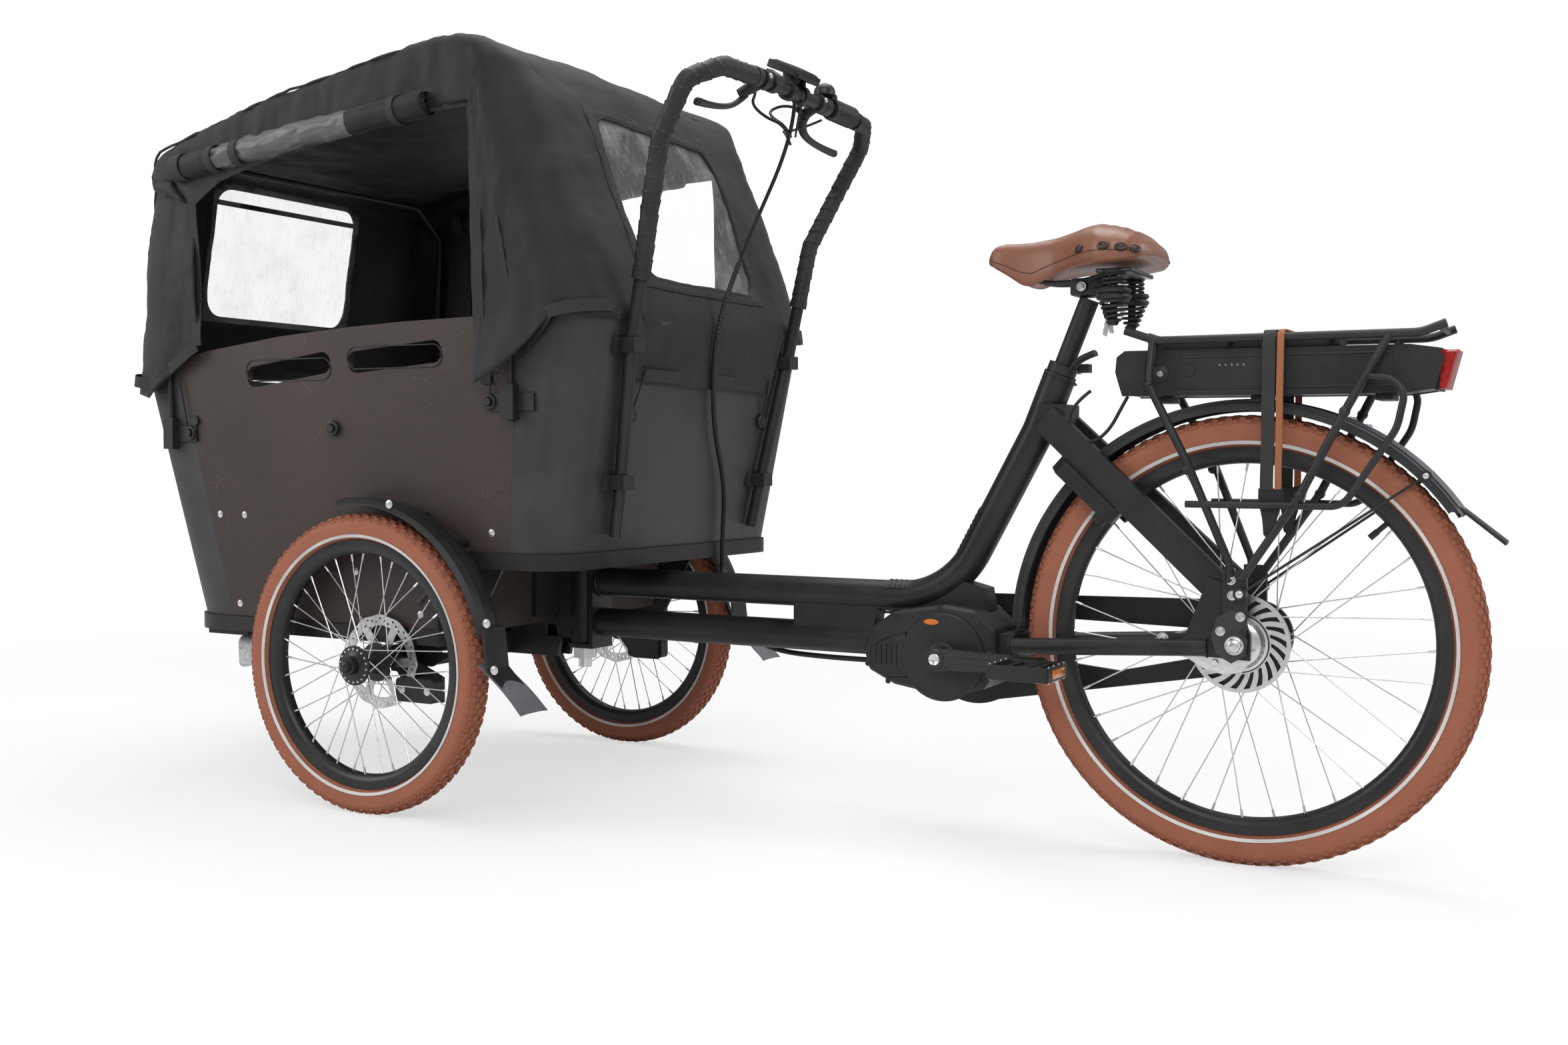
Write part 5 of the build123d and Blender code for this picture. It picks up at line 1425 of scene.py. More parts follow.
# Display in its bracket, and the small remote
tilt = Matrix.Translation((BAR_X, 0.026, 1.2385)) @ Matrix.Rotation(radians(-24), 4, "Y")
display = Forge()
display.brick((-0.031, -0.031, -0.0065), (0.031, 0.031, 0.0065), 0.005, tilt)
display.brick((-0.033, -0.036, -0.0095), (-0.024, 0.036, -0.001), 0.003, tilt)
for y in (-0.036, 0.031):
    display.brick((-0.033, y, -0.0095), (0.033, y + 0.005, 0.004), 0.002, tilt)
display.brick((-0.010, -0.014, -0.034), (0.010, 0.014, -0.006), 0.003, tilt)
for y in (0.004, 0.048):
    display.turned([(-0.006, 0.0112), (-0.006, 0.0165), (0.006, 0.0165), (0.006, 0.0112)],
                   (BAR_X, y, BAR_Z), 28)
    display.brick((-0.008, -0.005, 0.010), (0.008, 0.005, 0.032), 0.002,
                  Matrix.Translation((BAR_X, y, BAR_Z)))
remote = Matrix.Translation((BAR_X - 0.006, 0.104, 1.211)) @ Matrix.Rotation(radians(-35), 4, "Y")
display.brick((-0.015, -0.014, -0.006), (0.015, 0.014, 0.007), 0.004, remote)
display.turned([(-0.007, 0.0112), (-0.007, 0.0150), (0.007, 0.0150), (0.007, 0.0112)],
               (BAR_X, 0.104, BAR_Z), 28)
display.use(1)
display.brick((-0.024, -0.026, 0.0060), (0.026, 0.026, 0.0071), 0.0004, tilt)
display.use(2)
for k in range(3):
    display.brick((-0.010 + 0.008 * k, -0.006, 0.0068), (-0.004 + 0.008 * k, 0.006, 0.0082), 0.0005, remote)
display.piece("bar_display_unit", "front_carriage", ["black_plastic", "screen", "grey_plastic"],
              ["bar_display"])

# Twist shifter, bell and brake levers
controls = Forge()
ridges = []
for k in range(41):
    y = -0.112 - 0.072 * k / 40
    ridges.append((y, 0.0178 + (0.0012 if k % 4 < 2 else 0.0)))
controls.turned([(-0.104, 0.0112), (-0.104, 0.0172),
                 (-0.110, 0.0186)] + ridges + [(-0.188, 0.0180), (-0.190, 0.0112)],
                (BAR_X, 0, BAR_Z), 36)
controls.brick((-0.012, -0.112, 0.012), (0.020, -0.092, 0.024), 0.004,
               Matrix.Translation((BAR_X, 0, BAR_Z)))
controls.turned([(-0.090, 0.0112), (-0.090, 0.0158), (-0.070, 0.0158), (-0.070, 0.0112)], (BAR_X, 0, BAR_Z),
                28)
controls.turned([(0.0, 0.0004), (0.0, 0.0172), (0.003, 0.0178)], (BAR_X - 0.002, -0.080, 1.219), 4,
                axis="Z")
controls.use(1)
controls.turned([(-0.0010, 0.0004), (-0.0010, 0.0185), (0.0050, 0.0186), (0.0110, 0.0168), (0.0160, 0.0125),
                 (0.0188, 0.0060),
                 (0.0192, 0.0004)], (BAR_X - 0.002, -0.080, 1.2205), 36, axis="Z")
controls.piece("bar_controls_unit", "front_carriage", ["black_plastic", "black_rim"], ["bar_controls"])

levers = Forge()
for sign, y in ((1, 0.134), (-1, -0.060)):
    base = Vector((BAR_X, y, BAR_Z))
    levers.use(0)
    levers.turned([(-0.0075, 0.0112), (-0.0075, 0.0160), (0.0075, 0.0160), (0.0075, 0.0112)], base, 30)
    levers.tube([base + Vector((0.010, 0, -0.006)), base + Vector((0.026, sign * 0.004, -0.014)),
                 base + Vector((0.036, sign * 0.012, -0.022))], lambda run: 0.0105 - 0.06 * run, 14)
    levers.tube([base + Vector((0.030, -sign * 0.006, -0.012)),
                 base + Vector((0.028, -sign * 0.022, -0.010))], 0.0055, 14)
    blade = [base + Vector(p) for p in ((0.030, sign * 0.002, -0.022), (0.038, sign * 0.012, -0.034),
                                        (0.043, sign * 0.030, -0.044), (0.045, sign * 0.060, -0.050),
                                        (0.044, sign * 0.095, -0.054), (0.040, sign * 0.122, -0.057),
                                        (0.038, sign * 0.136, -0.058))]
    blade = read_line(blade)
    total = line_length(blade)
    levers.tube(blade, lambda run: 0.0052 - 0.0012 * sin(pi * run / total), 14,
                lambda run, turn: 0.0028 * abs(cos(turn)) ** 3)
    levers.ball(blade[-1], 0.0066, 1.0, 8)
    levers.use(1)
    levers.take(spread("pivot", screw_head(0.0035, 0.003),
                       [(base + Vector((0.026, 0, -0.002)), (0.2, 0, 1)),
                                                            (base + Vector((-0.015, 0, 0.004)),
                                                             (-1, 0, 0.2))], "steel"))
levers.piece("brake_levers_unit", "front_carriage", ["black_plastic", "steel"], ["brake_levers"])

for name, points, thick in (
        ("cable_brake_left", ((771, 109, 1192), (783, 86, 1194), (806, 60, 1184), (794, 34, 1166),
                              (762, 26, 1152),
                              (753, 22.5, 1130)), 0.005),
        ("cable_brake_right", ((771, -36, 1192), (782, -16, 1196), (804, 4, 1184), (790, 16, 1168),
                               (764, 18, 1152),
                               (753, 19, 1132)), 0.005),
        ("cable_shifter", ((757, -100, 1183), (774, -84, 1172), (790, -50, 1158), (784, -8, 1150),
                           (766, 12, 1140),
                           (755, 17, 1120)), 0.0045),
        ("cable_display", ((735, 30, 1212), (716, 44, 1196), (708, 60, 1180), (722, 48, 1164),
                           (735, 30, 1150),
                           (742, 24, 1130)), 0.0035)):
    line_points = [at(*p) for p in points]
    line = read_line(line_points)
    cable = Forge().tube(line, thick / 2, 10).piece(name, "front_carriage", ["cable_black"], (), 60.0)
    line_length(line)


# Saddle
def between(x, table):
    """A value read off a short table of (x, value)."""
    for (x0, v0), (x1, v1) in zip(table, table[1:]):
        if x <= x1:
            return v0 + (v1 - v0) * max(0.0, min(1.0, (x - x0) / (x1 - x0)))
    return table[-1][1]


SADDLE_HALF = ((131, 20), (134, 52), (141, 78), (156, 95), (180, 103), (205, 97), (235, 78), (262, 55),
               (290, 39),
               (320, 29), (350, 23.5), (380, 20), (396, 15), (404, 7))
SADDLE_TOP = ((131, 905), (138, 918), (156, 934), (180, 944), (214, 951.5), (236, 949), (262, 943),
              (290, 937), (330, 934),
              (372, 934), (392, 930), (400, 923), (404, 914))
SADDLE_LOW = ((131, 897), (150, 886), (180, 882), (232, 881), (262, 879), (290, 873), (308, 866),
              (326, 858), (344, 862),
              (368, 878), (390, 891), (404, 902))
rings = []
for i in range(61):
    x = 131.5 + 272.5 * (0.5 - 0.5 * cos(pi * i / 60))
    half, top, low = between(x, SADDLE_HALF), between(x, SADDLE_TOP), between(x, SADDLE_LOW)
    ring = []
    for k in range(29):
        a = pi * (k / 28 - 0.5)
        y = half * (1 if a > 0 else -1) * abs(sin(a)) ** 0.78
        z = low + (top - low) * max(0.0, cos(a)) ** 0.52
        groove = 3.0 * (1 - ease(abs(y) / 16)) * ease((x - 175) / 30) * (1 - ease((x - 350) / 40))
        rib = (1.1 * sin((x + 0.12 * abs(y)) * 0.36) * (1 - ease((x - 200) / 22))
               * (1 - ease((abs(y) - 62) / 16)) * ease((x - 142) / 10))
        ring.append(at(x, y, z - (groove - rib) * max(0.0, cos(a)) ** 0.5))
    for k in range(9):
        t = (k + 1) / 10
        ring.append(at(x, half * 0.93 * (1 - 2 * t),
                       low + (5.0 + 3.0 * sin(pi * t)) * (1 if 140 < x < 395 else 0.2)))
    rings.append(ring)
seat = Forge()
seat.skin(rings)
saddle_mesh = seat.mesh("saddle_cover")
saddle_piece = object_of("saddle_cover", saddle_mesh)
rounder = saddle_piece.modifiers.new("rounder", "SUBSURF")
rounder.levels = rounder.render_levels = 1
depsgraph = bpy.context.evaluated_depsgraph_get()
smooth_mesh = bpy.data.meshes.new_from_object(saddle_piece.evaluated_get(depsgraph))
saddle_piece.modifiers.clear()
saddle_piece.data = smooth_mesh
settle(saddle_piece, "rear_frame", ["leather"], ["saddle"], None)


def saddle_side(x, share, sign=1):
    """A point on the saddle's skirt, share 0 at its lower edge and 1 at the crown, and the way it faces."""
    half, top, low = between(x, SADDLE_HALF), between(x, SADDLE_TOP), between(x, SADDLE_LOW)
    a = pi / 2 * (1 - share)
    y = half * sin(a) ** 0.78
    z = low + (top - low) * cos(a) ** 0.52
    return at(x, sign * y, z), Vector((0.0, sign * sin(a), 0.35 + cos(a)))


eyelets, threads = Forge(), []
for sign in (1, -1):
    for x, share in ((148, 0.11), (166, 0.11), (192, 0.12), (236, 0.12)):
        point, out = saddle_side(x, share, sign)
        ahead, _ = saddle_side(x + 4, share, sign)
        beside = (ahead - point).normalized()
        out = (out - beside * out.dot(beside)).normalized()
        turn = Matrix((beside, out.cross(beside), out)).transposed().to_4x4()
        place = Matrix.Translation(point + out * 0.0003) @ turn @ Matrix.Diagonal((1.25, 0.85, 1, 1))
        ring = Forge().turned([(-0.001, 0.0044), (0.0016, 0.0048), (0.0022, 0.0062), (0.0012, 0.0078),
                               (-0.002, 0.0082)],
                              (0, 0, 0), 24, axis="Z").mesh("eyelet")
        eyelets.use(0).take(ring, place)
        # Inside each eyelet a black plug stands for the hole: painted shade where the saddle's dark inside
        # would be seen.
        hole_shade = Forge().turned([(-0.003, 0.0002), (-0.003, 0.0046), (0.0002, 0.0046), (0.0002, 0.0002)],
                              (0, 0, 0), 20,
                              axis="Z").mesh("eyelet_hole_shade")
        eyelets.use(1).take(hole_shade, place)
    line = [saddle_side(136 + 262 * k / 180, 0.07, sign)[0] for k in range(181)]
    for point, ahead in zip(line, line[1:]):
        threads.append((point + Vector((0, sign * 0.0004, 0)), (ahead - point).normalized()))
eyelets.piece("saddle_eyelets", "rear_frame", ["leather_dark", "black_plastic"])
thread = Forge().brick((-0.0004, -0.0004, -0.0011), (0.0004, 0.0004, 0.0011), 0.0002).mesh("saddle_thread")
seam = object_of("saddle_seam", spread("saddle_threads", thread, threads, "leather_dark"))
settle(seam, "rear_frame", ["leather_dark"], (), None)

# Coil springs, rails and clamp under the saddle
springs = Forge()
for sign in (1, -1):
    foot = at(190, sign * 48, 800)
    for turns, low, high, r_low, r_high in ((5.0, 0.0, 0.036, 0.0085, 0.0225),
                                            (4.0, 0.050, 0.076, 0.0165, 0.0170)):
        coil = []
        for k in range(150):
            t = k / 149
            turn = 2 * pi * turns * t * sign
            r = r_low + (r_high - r_low) * t
            coil.append(foot + Vector((r * cos(turn), r * sin(turn), low + (high - low) * t)))
        springs.tube(coil, 0.00225, 8)
    springs.turned([(-0.004, 0.0004), (-0.004, 0.0060), (0.0020, 0.0090), (0.0040, 0.0070),
                    (0.0040, 0.0004)], foot, 24, axis="Z")
    springs.turned([(0.034, 0.0004), (0.034, 0.0245), (0.0375, 0.0262), (0.0400, 0.0250), (0.0410, 0.0215),
                    (0.0425, 0.0215),
                    (0.0440, 0.0250), (0.0470, 0.0262), (0.0500, 0.0245), (0.0510, 0.0004)], foot, 32,
                    axis="Z")
    top = at(190, sign * 48, 874)
    springs.turned([(-0.001, 0.0004), (-0.001, 0.0190), (0.0035, 0.0200), (0.0050, 0.0190),
                    (0.0050, 0.0004)], top, 28, axis="Z")
    springs.tube([foot, foot + Vector((0, 0, 0.072))], 0.0060, 12)
    rail = read_line([at(190, sign * 48, 876), at(205, sign * 34, 876), at(240, sign * 20, 868),
                      at(290, sign * 18, 866),
                      at(318, sign * 17, 870), at(338, sign * 14, 874)])
    springs.tube(rail, 0.0036, 10)
    springs.tube(read_line([at(190, sign * 44, 846), at(206, sign * 38, 848), at(224, sign * 26, 852),
                            at(240, sign * 18, 855)]),
                 0.0042, 10)
springs.brick((REAR + 0.214, -0.026, 0.845), (REAR + 0.266, 0.026, 0.872), 0.005)
springs.turned([(-0.030, 0.0003), (-0.030, 0.0085), (-0.026, 0.0095), (0.026, 0.0095), (0.030, 0.0085),
                (0.030, 0.0003)],
               at(246, 0, 858), 24)
springs.brick((REAR + 0.160, -0.062, 0.8735), (REAR + 0.215, 0.062, 0.8800), 0.003)
springs.use(1)
springs.take(spread("saddle_bolts", screw_head(0.0055, 0.004),
                    [(at(246, 30, 858), (0, 1, 0)), (at(246, -30, 858), (0, -1, 0))],
                    "steel"))
springs.piece("saddle_springs", "rear_frame", ["black_steel", "steel"], ["seat_springs"])

# Keys hanging from the saddle clamp
keys = Forge()
ring_line = [at(204, 26 + 9 * cos(2 * pi * k / 24), 834 + 9 * sin(2 * pi * k / 24)) for k in range(25)]
keys.tube(ring_line, 0.0008, 6)
keys.tube([at(204, 26, 862), at(204, 26, 843)], 0.0008, 6)
for turn, drop in ((0.16, 0.0), (-0.22, -0.004)):
    place = Matrix.Translation(at(204 + 10 * turn, 26,
                                  825 + 1000 * drop)) @ Matrix.Rotation(turn, 4, "Y") @ across_y(0, 0, 0)
    keys.plate([(-0.0035, -0.040), (0.0035, -0.038), (0.0030, -0.034), (0.0040, -0.030), (0.0030, -0.026),
                (0.0040, -0.022),
                (0.0035, -0.012), (-0.0035, -0.012)], -0.0009, 0.0009, 0.0, place)
    keys.use(1)
    keys.plate([(0.0085 * cos(a), -0.006 + 0.0095 * sin(a)) for a in [2 * pi * k / 20 for k in range(20)]],
               -0.0022, 0.0022,
               0.0006, place)
    keys.use(0)
keys.piece("keys", "rear_frame", ["steel", "black_plastic"])

# Quick release under the seat post collar
release = Forge()
release.turned([(-0.014, 0.0003), (-0.014, 0.0075), (0.012, 0.0075), (0.016, 0.0060), (0.016, 0.0003)],
               at(262, 0, 735), 20)
release.tube(read_line([at(262, 15, 735), at(258, 20, 742), at(240, 26, 752), at(222, 30, 757)]), 0.0042,
             10,
             lambda run, turn: 0.0022 * abs(cos(turn)) ** 2)
release.piece("seat_release", "rear_frame", ["black_steel"])

# Rear hub: cooling disc with bent slots, cover, reaction arm, nuts and dropout hooks
def bent_slot(start, inner, outer, sweep, wide, count=6):
    """A slot that leans round as it runs outwards."""
    sides = [[], []]
    for k in range(count + 1):
        t = k / count
        r = inner + (outer - inner) * t
        a = start + sweep * t
        half = wide / 2 * (0.55 + 0.45 * t) / r
        sides[0].append((r * cos(a - half), r * sin(a - half)))
        sides[1].append((r * cos(a + half), r * sin(a + half)))
    return sides[0] + sides[1][::-1]


slots = [bent_slot(2 * pi * k / 22, 0.0450, 0.0665, 0.26, 0.0092) for k in range(22)]
brake = Forge().take(cut_sheet("cooling_disc", circle(0.0720, 96), slots + [circle(0.030, 48)], 0.0024,
                               across_y(REAR, 0.0395, 0.330)))
brake.turned([(0.0335, 0.0695), (0.0335, 0.0712), (0.0350, 0.0720), (0.0390, 0.0720), (0.0405, 0.0710),
              (0.0405, 0.0690)],
             REAR_HUB, 96)
brake.use(1)
brake.turned([(0.0335, 0.0300), (0.0335, 0.0695), (0.0350, 0.0695), (0.0350, 0.0300)], REAR_HUB, 96)
brake.use(0)
brake.turned([(0.0400, 0.0375), (0.0412, 0.0410), (0.0425, 0.0410), (0.0430, 0.0376), (0.0470, 0.0350),
              (0.0520, 0.0330),
              (0.0548, 0.0270), (0.0555, 0.0200), (0.0556, 0.0062), (0.0400, 0.0062)], REAR_HUB, 72)
for k in range(6):
    a = 2 * pi * k / 6 + 0.3
    brake.turned([(0.0520, 0.0003), (0.0556, 0.0026), (0.0566, 0.0022), (0.0568, 0.0003)],
                 (REAR + 0.0250 * cos(a), 0, 0.330 + 0.0250 * sin(a)), 12)
brake.use(1)
brake.turned([(0.0400, 0.0290), (0.0398, 0.0425), (0.0412, 0.0428), (0.0414, 0.0290)], REAR_HUB, 72)
arm = across_y(REAR, 0.0, 0.330)
brake.plate([(0.030, -0.008), (0.105, -0.010), (0.116, -0.004), (0.116, 0.008), (0.105, 0.012),
             (0.030, 0.010)],
            -0.0545, -0.0508, 0.0008, arm)
brake.use(3)
brake.plate([(0.098, -0.006), (0.098, -0.016), (0.070, -0.024), (0.044, -0.039), (0.016, -0.045),
             (-0.008, -0.040),
             (-0.020, -0.024), (-0.018, 0.020), (0.0, 0.038), (0.020, 0.043), (0.040, 0.038),
             (0.058, 0.022), (0.050, 0.006),
             (0.070, 0.0)], -0.0600, -0.0562, 0.0012, arm)
brake.turned([(0.0580, 0.0004), (0.0580, 0.0062), (0.0625, 0.0060), (0.0640, 0.0045), (0.0640, 0.0004)],
             (REAR + 0.030, 0, 0.302), 6)
brake.use(0)
brake.turned([(0.0743, 0.0003), (0.0743, 0.0120), (0.0760, 0.0128), (0.0768, 0.0112), (0.0800, 0.0112),
              (0.0820, 0.0100),
              (0.0836, 0.0062), (0.0852, 0.0056), (0.0860, 0.0003)], REAR_HUB, 6)
brake.turned([(0.0740, 0.0060), (0.0740, 0.0135), (0.0752, 0.0135), (0.0752, 0.0060)], REAR_HUB, 36)
brake.turned([(-0.0800, 0.0003), (-0.0800, 0.0056), (-0.0780, 0.0060), (-0.0640, 0.0060),
              (-0.0640, 0.0003)], REAR_HUB, 20)
brake.turned([(0.0500, 0.0003), (0.0500, 0.0060), (0.0745, 0.0060), (0.0745, 0.0003)], REAR_HUB, 16)
brake.use(2)
brake.plate([(-0.016, -0.014), (0.004, -0.026), (0.026, -0.014), (0.034, 0.012), (0.026, 0.040),
             (0.004, 0.052), (-0.012, 0.046),
             (-0.018, 0.030), (-0.006, 0.020), (-0.018, 0.010)], -0.0741, -0.0703, 0.0008, arm)
brake.use(0)
bolts = [(at(x, 74.2, z), (0, 1, 0), 1.0) for x, z in ((6, 424), (4, 402), (-8, 372), (20, 350))]
bolts += [(at(108, 54.6, 333), (0, 1, 0), 1.25), (at(320, 46, 312), (0, 1, 0), 1.1)]
brake.take(spread("hub_bolts", screw_head(0.0052, 0.0036), bolts, "steel"))
brake.piece("rear_brake_unit", "rear_frame", ["rotor_steel", "black_steel", "black_sheet", "cast_alloy"],
            ["rear_brake"], 32.0)

# Battery: extruded case with a front block, key cover, charge marks and rail
battery = Forge()
case_side = [(0.175, 0.690), (0.182, 0.712), (0.186, 0.726), (0.184, 0.748), (0.172, 0.757),
             (-0.224, 0.7555), (-0.262, 0.7495),
             (-0.2695, 0.7355), (-0.2575, 0.694), (-0.219, 0.6885)]
across = Matrix(((1, 0, 0, 0), (0, 0, -1, 0), (0, 1, 0, 0), (0, 0, 0, 1)))
shift = Matrix.Translation((REAR, 0, 0)) @ across
sections = ((0.0485, 0.955), (0.0498, 0.985), (0.0500, 1.0))
middle = Vector((-0.043, 0.724))
rings = []
for half, grow in [(-h, g) for h, g in sections] + [(h, g) for h, g in reversed(sections)]:
    rings.append([shift @ Vector((middle.x + (x - middle.x) * (0.5 + grow / 2),
                                  middle.y + (z - middle.y) * grow, -half))
                  for x, z in case_side])
rings.sort(key=lambda ring: ring[0].y)
battery.skin(rings)
for x in (0.142, 0.094, -0.205):
    for sign in (1, -1):
        battery.brick((REAR + x - 0.0014, sign * 0.0500 - 0.0008, 0.6960),
                      (REAR + x + 0.0014, sign * 0.0500 + 0.0008, 0.7530), 0.0005)
for sign in (1, -1):
    battery.brick((REAR - 0.200, sign * 0.0502 - 0.0012, 0.7440),
                  (REAR + 0.090, sign * 0.0502 + 0.0012, 0.7475), 0.0008)
    battery.brick((REAR - 0.200, sign * 0.0502 - 0.0012, 0.6985),
                  (REAR + 0.090, sign * 0.0502 + 0.0012, 0.7015), 0.0008)
battery.turned([(0.0495, 0.0003), (0.0495, 0.0120), (0.0520, 0.0120), (0.0532, 0.0100), (0.0534, 0.0003)],
               (REAR + 0.118, 0, 0.722), 32)
battery.turned([(0.0495, 0.0003), (0.0495, 0.0095), (0.0515, 0.0090), (0.0518, 0.0003)],
               (REAR + 0.076, 0, 0.726), 28)
battery.use(1)
battery.turned([(0.0533, 0.0003), (0.0533, 0.0045), (0.0538, 0.0040), (0.0538, 0.0003)],
               (REAR + 0.118, 0, 0.722), 20)
battery.use(2)
for k in range(5):
    battery.turned([(0.0499, 0.0003), (0.0499, 0.0017), (0.0505, 0.0014), (0.0505, 0.0003)],
                   (REAR + 0.032 - 0.0085 * k, 0, 0.733), 14)
battery.use(0)
for x in (0.120, -0.020, -0.190):
    battery.brick((REAR + x - 0.012, -0.030, 0.6800), (REAR + x + 0.012, 0.030, 0.6900), 0.002)
battery.piece("battery_case", "rear_frame", ["black_plastic", "steel", "grey_plastic"], ["battery"], 30.0)

tail = Forge()
tail.use(0)
tail.plate([(-0.2565, 0.6945), (-0.2715, 0.6945), (-0.2845, 0.7475), (-0.2575, 0.7475)], -0.0365, 0.0365,
           0.0035, shift)
tail.use(1)
tail.plate([(-0.2560, 0.6925), (-0.2620, 0.6925), (-0.2640, 0.7500), (-0.2560, 0.7500)], -0.0380, 0.0380,
           0.0015, shift)
tail.piece("tail_light_unit", "rear_frame", ["lamp_red", "black_plastic"], ["tail_light"], 30.0)

# Rubber strap over the rack: wide black band beside a narrow coloured one, hooked low on each side
straps = Forge()
for slot, low, high in ((0, -0.0505, -0.0320), (1, -0.0620, -0.0520)):
    straps.use(slot)
    path = [(0.0720, 0.548), (0.0712, 0.628), (0.0708, 0.700), (0.0705, 0.762), (0.0640, 0.7785),
            (0.0450, 0.7792), (0.0, 0.7796), (-0.0450, 0.7792),
            (-0.0640, 0.7785), (-0.0705, 0.762), (-0.0708, 0.700), (-0.0712, 0.628), (-0.0720, 0.548)]
    line = [Vector((REAR, y, z)) for y, z in path]
    line = flat_line([(p.y * 1000, p.z * 1000) for p in line], 0.003, 0.008)
    thick = 0.0019 if slot == 0 else 0.0023
    rows = []
    for k, p in enumerate(line):
        along = (line[min(k + 1, len(line) - 1)] - line[max(k - 1, 0)]).normalized()
        out = Vector((-along.z, 0, along.x))
        out = out if out.dot(Vector((p.x, 0, p.z - 0.70))) > 0 else -out
        nudge = 0.0005 * fractal(Vector((k * 0.05, slot, 0)), 1.0, 2.0, 2)
        near, far = p, p + out * thick
        rows.append([Vector((REAR + low + nudge, near.x, near.z)),
                     Vector((REAR + high + nudge, near.x, near.z)),
                     Vector((REAR + high + nudge - 0.0006, far.x, far.z)),
                     Vector((REAR + low + nudge + 0.0006, far.x, far.z))])
    straps.skin(rows)
straps.use(2)
for sign in (1, -1):
    straps.plate([(-0.0640, 0.556), (-0.0640, 0.540), (-0.0560, 0.512), (-0.0520, 0.488), (-0.0440, 0.484),
                  (-0.0380, 0.490),
                  (-0.0360, 0.512), (-0.0300, 0.540), (-0.0300, 0.556)],
                  *sorted((-sign * 0.0690, -sign * 0.0745)), 0.0014, shift)
straps.piece("rack_strap_bands", "rear_frame", ["strap", "strap_orange", "black_plastic"], ["rack_strap"],
             40.0)

# Small iron on the rack and the fender: feet, bosses and bolts, and the battery's lead
iron = Forge()
for sign in (1, -1):
    for x, z in ((128, 705), (70, 582), (-88, 546), (-146, 663)):
        iron.ball(at(x, sign * (76 if z > 700 else 81), z), 0.0078, 1.0, 7)
    iron.turned([(-0.004, 0.0003), (-0.004, 0.0092), (0.004, 0.0092), (0.004, 0.0003)],
                at(-8, sign * 80, 405), 20)
    iron.turned([(-0.003, 0.0003), (-0.003, 0.0075), (0.003, 0.0075), (0.003, 0.0003)],
                at(-246, sign * 26, 575), 16)
iron.use(1)
spots = [(at(-8, s * 84, 405), (0, s, 0), 0.9) for s in (1, -1)]
spots += [(at(-246, s * 29, 575), (0, s, 0), 0.7) for s in (1, -1)]
iron.take(spread("rack_bolts", screw_head(), spots, "steel"))
loop = [at(232, 22, 700), at(250, 34, 684), at(262, 40, 655), at(248, 42, 628), at(222, 40, 620),
        at(196, 42, 640), at(178, 44, 672),
        at(168, 44, 690)]
iron.piece("rack_iron", "rear_frame", ["black_steel", "steel"], (), 40.0)
line = read_line(loop)
lead = Forge().tube(line, 0.0026, 10).piece("battery_lead", "rear_frame", ["cable_black"], (), 60.0)
line_length(line)

# Rear fender: rolled edges, grey flap and its rivets
edge, flap = Forge(), Forge()
for sign in (1, -1):
    rim = []
    for k in range(121):
        a = radians(1.0 + 145 * k / 120)
        rim.append(REAR_HUB + Vector((0.3475 * cos(a), sign * 0.0272, 0.3475 * sin(a))))
    edge.tube(rim, 0.0016, 8)
    skirt = []
    for k in range(121):
        a = radians(2.0 + 143 * k / 120)
        flat = Vector((cos(a), 0, sin(a)))
        inner, outer = REAR_HUB + flat * 0.3370, REAR_HUB + flat * 0.3530
        skirt.append([inner + Vector((0, sign * 0.0282, 0)), outer + Vector((0, sign * 0.0272, 0)),
                      outer + Vector((0, sign * 0.0258, 0)), inner + Vector((0, sign * 0.0268, 0))])
    edge.skin(skirt)
edge.piece("rear_fender_edge", "rear_frame", ["fender_black"], (), 60.0)
rows = []
for k in range(25):
    a = radians(112 + 35 * k / 24)
    row = []
    for j in range(13):
        across_at = -0.0282 + 0.0564 * j / 12
        r = 0.3560 - 0.0060 * (abs(across_at) / 0.0282) ** 3
        row.append(REAR_HUB + Vector((r * cos(a), across_at, r * sin(a))))
    row += [p - (p - REAR_HUB).normalized() * 0.0012 for p in reversed(row)]
    rows.append(row)
flap.skin(rows)
flap.use(1)
flap.take(spread("flap_rivets", screw_head(0.003, 0.0018), [
    (REAR_HUB + Vector((0.3562 * cos(radians(a)), y, 0.3562 * sin(radians(a)))),
     (cos(radians(a)), 0, sin(radians(a))))
    for a in (114, 118) for y in (-0.014, 0.014)], "steel"))
flap.piece("rear_fender_flap", "rear_frame", ["flap_grey", "steel"], (), 40.0)

# Ring lock fittings: key barrel
lock_up = Vector((0.677, 0, -0.736)).normalized()
lock_side = Vector((0, 1, 0))
lock_turn = Matrix((lock_side.cross(lock_up), lock_side, lock_up)).transposed().to_4x4()
lock_place = Matrix.Translation(at(237.6, 0, 556)) @ lock_turn
lock = Forge()
lock.turned([(0.0, 0.0003), (0.0, 0.0105), (0.0145, 0.0100), (0.0160, 0.0085), (0.0160, 0.0003)], (0, 0, 0),
            28, axis="Z")
barrel = lock.mesh("lock_barrel")
fittings = Forge().take(barrel, lock_place @ Matrix.Translation((0.052, 0.030, 0.012)))
fittings.piece("ring_lock_fittings", "rear_frame", ["black_plastic"], (), 35.0)

# Weld beads round the main joints of the frame
beads = Forge()


def weld(centre, axis, radius, width=0.0022):
    """A rippled bead round a tube."""
    side, up = cross_frame(Vector(axis))
    ring = [Vector(centre) + (side * cos(2 * pi * k / 72) + up * sin(2 * pi * k / 72)) * radius
            for k in range(73)]
    beads.tube(ring, width, 6, lambda run, turn: 0.0006 * sin(run * 1400))


